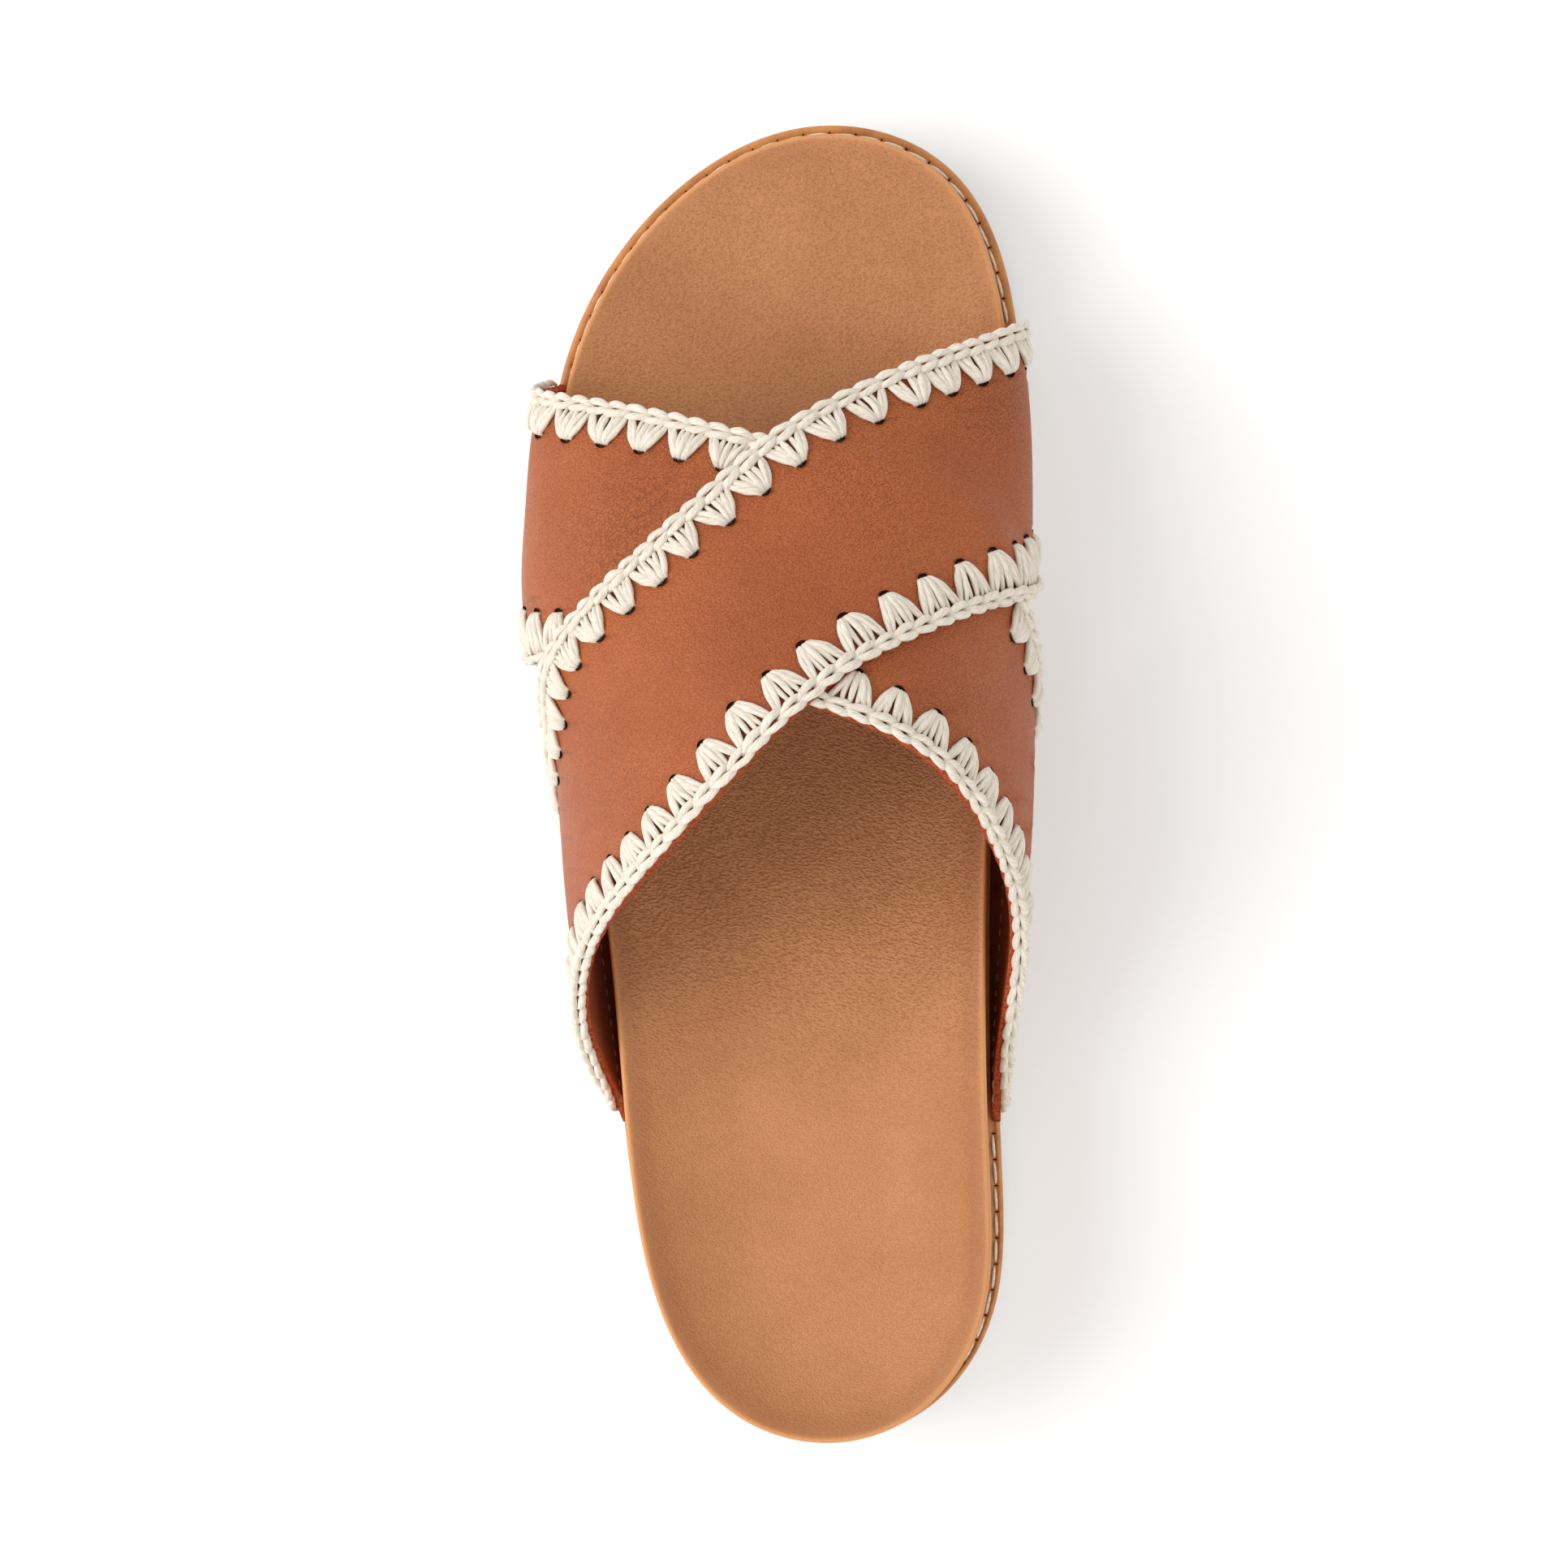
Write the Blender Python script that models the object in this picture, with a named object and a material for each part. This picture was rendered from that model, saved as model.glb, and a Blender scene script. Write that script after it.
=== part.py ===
"""Left leather slide sandal with two crossed straps and crocheted strap edges.

+X points to the big-toe side, +Y to the toe and +Z up. Sizes are in millimetres in the last's own
frame; the parent empty centres the finished sandal over the origin and MM turns sizes into metres.
"""
import bisect
import math
from collections import namedtuple

import bmesh
import bpy
import numpy as np
from mathutils import Vector

MM = 0.001
FIT_GAP = 0.3             # clearance between pieces that meet
FRAME_CENTRE_X = 0.045    # middle of the finished sandal's box, in the last's frame
FRAME_CENTRE_Y = -0.575

# Sole and welt
SOLE_THICKNESS = 13.0
TOE_SPRING = 5.0          # rise of the sole at the toe tip
SPRING_START = 58.0       # the sole is flat behind this station
WAIST_RELIEF = 1.5        # hollow under the arch
WAIST_MIDDLE = -22.0
WAIST_LENGTH = 76.0
WAIST_STEEPNESS = 1.6
TREAD_CHAMFER = 1.6
SOLE_TOP_ROUND = 0.7
WELT_THICKNESS = 2.4
WELT_EDGE_ROUND = 0.5
LEDGE_HEEL = 1.9          # welt beyond the footbed, at the heel and at the toe
LEDGE_TOE = 2.4
SOLE_TUCK_HEEL = 0.5      # sole inside the welt's edge at the heel
SOLE_FLARE_TOE = 0.05     # sole beyond the welt at the toe
OUTLINE_ROWS = 40         # rows from heel tip to toe tip

# Upper and its crochet
STRAP_THICKNESS = 1.8
STRAP_STANDOFF = 0.35     # strap lining to footbed side, at the welt
SIDE_SHARE = 0.12         # share of the girth below the widest point, on each side
CROSS_CLEAR = 0.6         # room over the lower strap's edges
CROSS_FUSE = 0.5          # depth that joins the straps in the middle of the crossing
CROSS_RAMP = 16.0         # run over which the upper strap climbs onto the lower one
STRAP_GIRTH_STEPS = 40
STRAP_WIDTH_STEPS = 9
FAN_PITCH = 8.6
FAN_REACH = 7.8           # punched hole to the chain's outer side
FAN_VALLEY = 3.6
STATIONS_PER_FAN = 4
CHAIN_OVERHANG = 1.2      # chain beyond a front edge
CHAIN_SETBACK = 1.3       # chain further in along a rear edge, where the cut leather shows
CHAIN_HEIGHT = 1.9
CHAIN_WIDTH = 3.0
FAN_THICKNESS = 0.7
EDGING_END = 3.0          # bare leather between the edging and the welt
EDGING_GAP = 0.38         # clearance under the edging, over the climb at the crossing too
CROSS_MARGIN = 2.0        # edging of the lower strap stops this far from the upper strap

# Cross-section of the edging: depth into the strap in chain widths or to the fan's tip, and height
# in chain heights or fan thicknesses
EdgingPoint = namedtuple("EdgingPoint", "overhang chain tip chain_height fan_height")
EDGING_PROFILE = [
    EdgingPoint(0.7, 0.0, 0.0, 0.0, 0.0),
    EdgingPoint(1.0, 0.0, 0.0, 0.5, 0.0),
    EdgingPoint(0.0, 0.2, 0.0, 1.0, 0.0),
    EdgingPoint(0.0, 0.9, 0.0, 0.6, 0.0),
    EdgingPoint(0.0, 0.0, 1.0, 0.0, 1.0),
    EdgingPoint(0.0, 0.0, 1.0, 0.0, 0.0),
    EdgingPoint(0.0, 0.9, 0.0, 0.0, 0.0),
]

# Small steps for slopes and searches
TURN_STEP = 0.002
GIRTH_STEP = 0.003
Y_STEP = 0.2
PROBE_STEP = 0.25
EDGE_SAMPLES = 400
CROSSING_HALVINGS = 40
SHARP_ANGLE = 40.0

Landmark = namedtuple("Landmark", "place x y")
OUTLINE = [
    Landmark("heel back", 8.8, -129.8),
    Landmark("heel corner lateral", -10.0, -123.6),
    Landmark("heel lateral", -24.6, -101.3),
    Landmark("heel breast lateral", -29.7, -76.5),
    Landmark("waist lateral", -34.3, -32.0),
    Landmark("shank lateral", -40.5, 8.0),
    Landmark("ball lateral", -45.3, 48.0),
    Landmark("little toe", -43.2, 79.5),
    Landmark("fourth toe", -33.5, 101.5),
    Landmark("toe corner lateral", -16.0, 119.5),
    Landmark("toe tip", 9.0, 128.1),
    Landmark("toe corner medial", 29.8, 121.2),
    Landmark("big toe", 40.8, 103.5),
    Landmark("ball medial", 44.7, 62.0),
    Landmark("shank medial", 41.8, 18.0),
    Landmark("arch medial", 40.3, -22.0),
    Landmark("heel breast medial", 40.7, -70.0),
    Landmark("heel medial", 40.3, -102.0),
    Landmark("heel corner medial", 30.3, -121.0),
]
TOE_TIP_INDEX = 10

# Footbed heights above the welt, at stations along the shoe
BedRow = namedtuple("BedRow", "y floor rim_lateral rim_medial")
BED = [
    BedRow(-130.0, 15.0, 22.0, 22.0),
    BedRow(-95.0, 14.0, 22.0, 23.0),
    BedRow(-60.0, 13.5, 19.0, 22.0),
    BedRow(-25.0, 12.0, 15.5, 20.0),
    BedRow(10.0, 9.5, 12.0, 14.5),
    BedRow(45.0, 7.0, 9.5, 10.5),
    BedRow(85.0, 5.8, 8.0, 8.2),
    BedRow(130.0, 5.2, 7.0, 7.0),
]

# Footbed from its base over the rim into the dish: inset from the outline, share of the rise
# from dish floor to rim, and drop below that
BedRing = namedtuple("BedRing", "inset share drop")
BED_SIDE_TUCK = 0.6
BED_RIM_BLEND = 25.0      # length at heel and toe over which the two rims become one
BED_RINGS = [
    BedRing(0.0, 1.0, 2.2),
    BedRing(0.35, 1.0, 0.7),
    BedRing(1.3, 1.0, 0.0),
    BedRing(3.2, 0.82, 0.0),
    BedRing(7.0, 0.5, 0.0),
    BedRing(13.0, 0.18, 0.0),
    BedRing(21.0, 0.0, 0.0),
]
BED_COLUMNS = 2

# Lining surface of the upper: crown above the floor, widest height above the welt, how far the
# sides bulge past the footbed, and how slim the shoulders are (1 is an ellipse)
SectionRow = namedtuple("SectionRow", "y crown_x crown_z widest bulge_lateral bulge_medial slim")
SECTIONS = [
    SectionRow(-75.0, 9.0, 104.0, 23.0, 0.8, 0.6, 1.3),
    SectionRow(-50.0, 9.0, 100.0, 22.0, 3.9, 2.4, 1.3),
    SectionRow(-20.0, 9.0, 93.0, 21.0, 4.4, 6.0, 1.3),
    SectionRow(15.0, 8.0, 81.5, 20.0, 2.8, 6.0, 1.2),
    SectionRow(30.0, 6.4, 74.8, 19.5, 4.5, 4.7, 1.15),
    SectionRow(40.0, 5.0, 70.0, 19.0, 4.3, 3.8, 1.1),
    SectionRow(52.0, 3.4, 64.1, 18.2, 3.0, 3.0, 1.05),
    SectionRow(65.0, 2.0, 58.0, 17.0, 2.3, 2.3, 1.0),
    SectionRow(95.0, 1.0, 45.5, 13.0, 1.4, 0.6, 1.0),
]

# Where each strap edge lies along the shoe, from lateral sole (girth 0) to medial sole (girth 1)
EdgeRow = namedtuple("EdgeRow", "girth over_front over_rear under_front under_rear")
STRAP_EDGES = [
    EdgeRow(0.00, -18.0, -68.0, 79.0, 27.5),
    EdgeRow(0.12, 5.0, -50.5, 76.5, 25.0),
    EdgeRow(0.18, 13.0, -41.0, 75.2, 23.8),
    EdgeRow(0.25, 24.5, -30.5, 73.6, 23.0),
    EdgeRow(0.35, 39.6, -15.8, 70.8, 21.0),
    EdgeRow(0.50, 65.3, 13.0, 63.3, 13.7),
    EdgeRow(0.65, 80.1, 28.5, 53.8, 1.8),
    EdgeRow(0.75, 85.3, 34.3, 42.6, -13.7),
    EdgeRow(0.82, 87.8, 37.1, 31.0, -26.0),
    EdgeRow(0.88, 89.0, 38.8, 22.5, -39.5),
    EdgeRow(1.00, 90.0, 40.5, 0.0, -68.0),
]

# Finish of each piece: colour (linear), roughness
Finish = namedtuple("Finish", "colour roughness")
FINISHES = {
    "sole_rubber": Finish((0.70, 0.67, 0.60), 0.60),
    "welt_leather": Finish((0.36, 0.16, 0.06), 0.50),
    "footbed_leather": Finish((0.52, 0.25, 0.11), 0.60),
    "strap_leather": Finish((0.42, 0.13, 0.06), 0.45),
    "crochet_yarn": Finish((0.79, 0.75, 0.66), 0.80),
}


def spline(knots, values, period=None):
    """Smooth cubic through the knots: natural at open ends, closed where a period is given."""
    count = len(knots)
    knots = [float(k) for k in knots]
    values = [float(v) for v in values]
    if period is not None:
        knots = knots + [knots[0] + period]
        values = values + [values[0]]
    steps = np.diff(knots)
    rises = np.diff(values) / steps
    matrix = np.eye(count)
    right = np.zeros(count)
    rows = range(count) if period is not None else range(1, count - 1)
    for i in rows:
        before = i - 1 if i > 0 else count - 1
        after = (i + 1) % count
        matrix[i, i] = 2.0 * (steps[before] + steps[i])
        matrix[i, before] = steps[before]
        matrix[i, after] = steps[i]
        right[i] = 6.0 * (rises[i] - rises[before])
    bends = [float(b) for b in np.linalg.solve(matrix, right)]
    if period is not None:
        bends = bends + [bends[0]]

    def value(position):
        if period is not None:
            position = knots[0] + (position - knots[0]) % period
        position = min(max(position, knots[0]), knots[-1])
        i = min(max(bisect.bisect_right(knots, position) - 1, 0), len(knots) - 2)
        step = knots[i + 1] - knots[i]
        a = (knots[i + 1] - position) / step
        b = 1.0 - a
        bend = (a ** 3 - a) * bends[i] + (b ** 3 - b) * bends[i + 1]
        return a * values[i] + b * values[i + 1] + bend * step * step / 6.0

    return value


def column(table, name, key):
    """Smooth curve through one named column of a table."""
    return spline([getattr(row, key) for row in table], [getattr(row, name) for row in table])


def smoothstep(t):
    t = min(max(t, 0.0), 1.0)
    return t * t * (3.0 - 2.0 * t)


# Outline of the footbed in plan, run from the heel up the lateral side and back down the medial
HEEL_Y = OUTLINE[0].y
TOE_Y = OUTLINE[TOE_TIP_INDEX].y
MID_Y = 0.5 * (HEEL_Y + TOE_Y)
HALF_LENGTH = 0.5 * (TOE_Y - HEEL_Y)


def turn_at(y, lateral):
    """Outline angle at a station: 0 at the heel tip, pi at the toe tip."""
    ratio = min(max((MID_Y - y) / HALF_LENGTH, -1.0), 1.0)
    angle = math.acos(ratio)
    return angle if lateral else 2.0 * math.pi - angle


outline_x = spline(
    [turn_at(mark.y, i <= TOE_TIP_INDEX) for i, mark in enumerate(OUTLINE)],
    [mark.x for mark in OUTLINE],
    period=2.0 * math.pi,
)


def outline_plan(turn):
    return Vector((outline_x(turn), MID_Y - HALF_LENGTH * math.cos(turn)))


def outline_at(turn, margin):
    """Point of the outline in plan, moved outwards by the margin."""
    tangent = outline_plan(turn + TURN_STEP) - outline_plan(turn - TURN_STEP)
    outward = Vector((-tangent.y, tangent.x)).normalized()
    return outline_plan(turn) + outward * margin


def ring(margin, height):
    """Closed ring of points round the outline; margin and height are functions of y and side."""
    points = []
    for i in range(2 * OUTLINE_ROWS):
        turn = math.pi * i / OUTLINE_ROWS
        y = MID_Y - HALF_LENGTH * math.cos(turn)
        lateral = i <= OUTLINE_ROWS
        place = outline_at(turn, margin(y))
        points.append(Vector((place.x, place.y, height(place.y, lateral))))
    return points


# Heights of the sole layers along the shoe
def spring(y):
    run = max(0.0, (y - SPRING_START) / (TOE_Y - SPRING_START))
    return TOE_SPRING * run * run


def tread(y):
    reach = abs(y - WAIST_MIDDLE) / (0.5 * WAIST_LENGTH)
    return spring(y) + WAIST_RELIEF * smoothstep(WAIST_STEEPNESS * (1.0 - reach))


def sole_top(y):
    return SOLE_THICKNESS + spring(y)


def welt_bottom(y):
    return sole_top(y) + FIT_GAP


def welt_top(y):
    return welt_bottom(y) + WELT_THICKNESS


def bed_bottom(y):
    return welt_top(y) + FIT_GAP


def ledge(y):
    share = (y - HEEL_Y) / (TOE_Y - HEEL_Y)
    return LEDGE_HEEL + (LEDGE_TOE - LEDGE_HEEL) * smoothstep(share)


def sole_margin(y):
    share = (y - HEEL_Y) / (TOE_Y - HEEL_Y)
    return ledge(y) - SOLE_TUCK_HEEL + (SOLE_TUCK_HEEL + SOLE_FLARE_TOE) * smoothstep(share)


bed_floor = column(BED, "floor", "y")
bed_rim_lateral = column(BED, "rim_lateral", "y")
bed_rim_medial = column(BED, "rim_medial", "y")


def dish_floor(y):
    return bed_bottom(y) + bed_floor(y)


def bed_height(y, lateral, share, drop):
    """Footbed surface between dish floor (share 0) and rim (share 1), less a drop."""
    edge = smoothstep((HALF_LENGTH - abs(y - MID_Y)) / BED_RIM_BLEND)
    mean = 0.5 * (bed_rim_lateral(y) + bed_rim_medial(y))
    side = bed_rim_lateral(y) if lateral else bed_rim_medial(y)
    rim = mean + (side - mean) * edge
    return dish_floor(y) + (rim - bed_floor(y)) * share - drop


# Upper: the lining surface over girth and y, and its strap edges
crown_x = column(SECTIONS, "crown_x", "y")
crown_z = column(SECTIONS, "crown_z", "y")
widest = column(SECTIONS, "widest", "y")
bulge_lateral = column(SECTIONS, "bulge_lateral", "y")
bulge_medial = column(SECTIONS, "bulge_medial", "y")
slim = column(SECTIONS, "slim", "y")
over_front = column(STRAP_EDGES, "over_front", "girth")
over_rear = column(STRAP_EDGES, "over_rear", "girth")
under_front = column(STRAP_EDGES, "under_front", "girth")
under_rear = column(STRAP_EDGES, "under_rear", "girth")


def lining(girth, y):
    """Point of the upper's lining: a side wall that bulges, then an arch over the crown."""
    foot_lateral = outline_x(turn_at(y, True)) - STRAP_STANDOFF
    foot_medial = outline_x(turn_at(y, False)) + STRAP_STANDOFF
    wide_lateral = foot_lateral - bulge_lateral(y)
    wide_medial = foot_medial + bulge_medial(y)
    foot_z = welt_top(y) + FIT_GAP
    wide_z = foot_z + widest(y)
    if girth < SIDE_SHARE:
        rise = girth / SIDE_SHARE
        x = foot_lateral + (wide_lateral - foot_lateral) * math.sin(0.5 * math.pi * rise)
        return Vector((x, y, foot_z + widest(y) * rise))
    if girth > 1.0 - SIDE_SHARE:
        rise = (1.0 - girth) / SIDE_SHARE
        x = foot_medial + (wide_medial - foot_medial) * math.sin(0.5 * math.pi * rise)
        return Vector((x, y, foot_z + widest(y) * rise))
    sweep = math.pi * (girth - SIDE_SHARE) / (1.0 - 2.0 * SIDE_SHARE)
    middle = crown_x(y)
    half = middle - wide_lateral if sweep < 0.5 * math.pi else wide_medial - middle
    x = middle - half * math.cos(sweep)
    arch = max(math.sin(sweep), 0.0) ** slim(y)
    return Vector((x, y, wide_z + (crown_z(y) - wide_z) * arch))


def lining_frame(girth, y):
    """Slopes of the lining along girth and y, and its outward normal."""
    along_girth = lining(girth + GIRTH_STEP, y) - lining(girth - GIRTH_STEP, y)
    along_y = lining(girth, y + Y_STEP) - lining(girth, y - Y_STEP)
    normal = along_girth.cross(along_y).normalized()
    return along_girth / (2.0 * GIRTH_STEP), along_y / (2.0 * Y_STEP), normal


def upper_point(girth, y, offset):
    """Point at an offset outside the lining, never below the welt."""
    point = lining(girth, y) + lining_frame(girth, y)[2] * offset
    point.z = max(point.z, welt_top(y) + FIT_GAP)
    return point


def over_lift(girth, y):
    """How far the upper strap is carried off the last by the strap under it."""
    depth = min(y - under_rear(girth), under_front(girth) - y)
    climb = smoothstep(1.0 + depth / CROSS_RAMP)
    settle = smoothstep(depth / CROSS_RAMP)
    return climb * (STRAP_THICKNESS + CROSS_CLEAR) - settle * (CROSS_CLEAR + CROSS_FUSE)


def no_lift(girth, y):
    return 0.0


# Scene and mesh helpers
def make_collection(name):
    collection = bpy.data.collections.new(name)
    bpy.context.scene.collection.children.link(collection)
    return collection


def make_material(name):
    finish = FINISHES[name]
    material = bpy.data.materials.new(name)
    material.use_nodes = True
    shader = material.node_tree.nodes["Principled BSDF"]
    shader.inputs["Base Color"].default_value = (*finish.colour, 1.0)
    shader.inputs["Roughness"].default_value = finish.roughness
    shader.inputs["Metallic"].default_value = 0.0
    return material


def make_object(name, mesh_points, faces, material, collection, parent):
    mesh = bpy.data.meshes.new(name)
    mesh.from_pydata([p * MM for p in mesh_points], [], faces)
    work = bmesh.new()
    work.from_mesh(mesh)
    bmesh.ops.recalc_face_normals(work, faces=work.faces)
    work.to_mesh(mesh)
    work.free()
    mesh.shade_smooth()
    mesh.set_sharp_from_angle(angle=math.radians(SHARP_ANGLE))
    mesh.materials.append(material)
    item = bpy.data.objects.new(name, mesh)
    item.parent = parent
    collection.objects.link(item)
    return item


def cap_faces(ring_start, columns, points, height):
    """Close a ring with rows from the lateral to the medial side, adding points between."""
    count = 2 * OUTLINE_ROWS
    rows = [[ring_start]]
    for i in range(1, OUTLINE_ROWS):
        left = ring_start + i
        right = ring_start + count - i
        row = [left]
        for k in range(1, columns + 1):
            place = points[left].lerp(points[right], k / (columns + 1))
            place.z = height(place.y)
            points.append(place)
            row.append(len(points) - 1)
        rows.append(row + [right])
    rows.append([ring_start + OUTLINE_ROWS])
    faces = []
    for low, high in zip(rows, rows[1:]):
        if len(low) == 1:
            faces += [(low[0], high[k + 1], high[k]) for k in range(len(high) - 1)]
        elif len(high) == 1:
            faces += [(low[k], low[k + 1], high[0]) for k in range(len(low) - 1)]
        else:
            faces += [(low[k], low[k + 1], high[k + 1], high[k]) for k in range(len(low) - 1)]
    return faces


def loft_layer(name, rings, top_columns, top_height, material, collection, parent):
    """Closed solid through rings from the bottom up, with both ends capped."""
    count = 2 * OUTLINE_ROWS
    points = [point for one in rings for point in one]
    faces = []
    for level in range(len(rings) - 1):
        low = level * count
        high = low + count
        for i in range(count):
            j = (i + 1) % count
            faces.append((low + i, low + j, high + j, high + i))
    last = (len(rings) - 1) * count
    faces += cap_faces(0, 0, points, None)
    faces += cap_faces(last, top_columns, points, top_height)
    return make_object(name, points, faces, material, collection, parent)


# Sub-parts
def build_outsole(material, collection, parent):
    rings = [
        ring(lambda y: sole_margin(y) - TREAD_CHAMFER, lambda y, side: tread(y)),
        ring(sole_margin, lambda y, side: tread(y) + TREAD_CHAMFER),
        ring(sole_margin, lambda y, side: sole_top(y) - SOLE_TOP_ROUND),
        ring(lambda y: sole_margin(y) - SOLE_TOP_ROUND, lambda y, side: sole_top(y)),
    ]
    return loft_layer("outsole", rings, 0, None, material, collection, parent)


def build_welt(material, collection, parent):
    rings = [
        ring(ledge, lambda y, side: welt_bottom(y)),
        ring(ledge, lambda y, side: welt_top(y) - WELT_EDGE_ROUND),
        ring(lambda y: ledge(y) - WELT_EDGE_ROUND, lambda y, side: welt_top(y)),
    ]
    return loft_layer("welt", rings, 0, None, material, collection, parent)


def build_footbed(material, collection, parent):
    rings = [ring(lambda y: -BED_SIDE_TUCK, lambda y, side: bed_bottom(y))]
    for row in BED_RINGS:
        rings.append(ring(
            lambda y, row=row: -row.inset,
            lambda y, side, row=row: bed_height(y, side, row.share, row.drop),
        ))
    return loft_layer("footbed", rings, BED_COLUMNS, dish_floor, material, collection, parent)


def build_strap(name, rear, front, lift, material, collection, parent):
    """Curved slab from sole to sole between two edges, its wall as thick as the leather."""
    points = []
    for layer in (0.0, STRAP_THICKNESS):
        for k in range(STRAP_GIRTH_STEPS + 1):
            girth = k / STRAP_GIRTH_STEPS
            back = rear(girth)
            run = front(girth) - back
            for j in range(STRAP_WIDTH_STEPS + 1):
                y = back + run * j / STRAP_WIDTH_STEPS
                points.append(upper_point(girth, y, lift(girth, y) + layer))
    row = STRAP_WIDTH_STEPS + 1
    outer = row * (STRAP_GIRTH_STEPS + 1)
    faces = []
    for k in range(STRAP_GIRTH_STEPS):
        for j in range(STRAP_WIDTH_STEPS):
            a = k * row + j
            faces.append((a, a + 1, a + row + 1, a + row))
            faces.append((outer + a, outer + a + row, outer + a + row + 1, outer + a + 1))
        for j in (0, STRAP_WIDTH_STEPS):
            a = k * row + j
            faces.append((a, a + row, outer + a + row, outer + a))
    for k in (0, STRAP_GIRTH_STEPS):
        for j in range(STRAP_WIDTH_STEPS):
            a = k * row + j
            faces.append((a, a + 1, outer + a + 1, outer + a))
    return make_object(name, points, faces, material, collection, parent)


def build_upper(material, collection, cutters, parent):
    upper = build_strap("upper", over_rear, over_front, over_lift, material, collection, parent)
    lower = build_strap("lower_strap", under_rear, under_front, no_lift, material, cutters, parent)
    lower.hide_render = True
    lower.display_type = "WIRE"
    join = upper.modifiers.new("join_straps", "BOOLEAN")
    join.operation = "UNION"
    join.solver = "EXACT"
    join.object = lower
    return upper


def clear_of_upper_strap(girth, y):
    return not over_rear(girth) - CROSS_MARGIN < y < over_front(girth) + CROSS_MARGIN


def always_clear(girth, y):
    return True


def edge_path(edge, first, last, lift):
    """Fine list of (girth, length along the strap edge) between two girths."""
    path = []
    length = 0.0
    before = None
    for k in range(EDGE_SAMPLES + 1):
        girth = first + (last - first) * k / EDGE_SAMPLES
        y = edge(girth)
        place = upper_point(girth, y, STRAP_THICKNESS + lift(girth, y))
        if before is not None:
            length += (place - before).length
        path.append((girth, length))
        before = place
    return path


def inward_step(edge, girth, inward):
    """Change of girth and y for one millimetre into the strap, square to its edge."""
    y = edge(girth)
    along_girth, along_y, normal = lining_frame(girth, y)
    slope = (edge(girth + GIRTH_STEP) - edge(girth - GIRTH_STEP)) / (2.0 * GIRTH_STEP)
    tangent = (along_girth + along_y * slope).normalized()
    across = normal.cross(tangent)
    if across.dot(along_y) * inward < 0.0:
        across = -across
    gg = along_girth.dot(along_girth)
    gy = along_girth.dot(along_y)
    yy = along_y.dot(along_y)
    ag = across.dot(along_girth)
    ay = across.dot(along_y)
    scale = gg * yy - gy * gy
    return (ag * yy - ay * gy) / scale, (ay * gg - ag * gy) / scale


def build_edging(name, edge, inward, lift, clear, first, last, material, collection, parent):
    """Crochet along a strap edge: a fat chain on the edge and fans that run to the holes."""
    path = edge_path(edge, first, last, lift)
    total = path[-1][1]
    fans = max(1, round((total - 2.0 * EDGING_END) / FAN_PITCH))
    stations = fans * STATIONS_PER_FAN
    lengths = [row[1] for row in path]
    sections = []
    for k in range(stations + 1):
        target = EDGING_END + (total - 2.0 * EDGING_END) * k / stations
        i = min(max(bisect.bisect_right(lengths, target) - 1, 0), len(path) - 2)
        share = (target - lengths[i]) / (lengths[i + 1] - lengths[i])
        girth = path[i][0] + (path[i + 1][0] - path[i][0]) * share
        y = edge(girth)
        step_girth, step_y = inward_step(edge, girth, inward)
        phase = (k % STATIONS_PER_FAN) / STATIONS_PER_FAN
        reach = FAN_VALLEY + (FAN_REACH - FAN_VALLEY) * (1.0 - abs(2.0 * phase - 1.0))
        setback = CHAIN_SETBACK if inward > 0 else 0.0
        probe = setback + CHAIN_WIDTH
        while probe < setback + reach and clear(girth + step_girth * probe, y + step_y * probe):
            probe += PROBE_STEP
        tip = max(min(reach, probe - setback), CHAIN_WIDTH + FAN_THICKNESS)
        deepest = setback + tip
        if not clear(girth, y) or not clear(girth + step_girth * deepest, y + step_y * deepest):
            continue
        section = []
        for row in EDGING_PROFILE:
            depth = setback - row.overhang * CHAIN_OVERHANG + row.chain * CHAIN_WIDTH + row.tip * tip
            height = row.chain_height * CHAIN_HEIGHT + row.fan_height * FAN_THICKNESS
            at_girth = girth + step_girth * depth
            at_y = y + step_y * depth
            base = STRAP_THICKNESS + lift(at_girth, at_y) + EDGING_GAP
            section.append(upper_point(at_girth, at_y, base + height))
        sections.append(section)
    width = len(sections[0])
    points = [point for section in sections for point in section]
    faces = []
    for k in range(len(sections) - 1):
        for j in range(width):
            a = k * width + j
            b = k * width + (j + 1) % width
            faces.append((a, b, b + width, a + width))
    faces.append(tuple(range(width)))
    faces.append(tuple(range(len(points) - width, len(points))))
    return make_object(name, points, faces, material, collection, parent)


def crossing(edge_a, edge_b, low, high):
    """Girth between low and high where two strap edges cross."""
    sign = edge_a(low) - edge_b(low)
    for _ in range(CROSSING_HALVINGS):
        middle = 0.5 * (low + high)
        if (edge_a(middle) - edge_b(middle)) * sign > 0.0:
            low = middle
        else:
            high = middle
    return low


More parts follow.
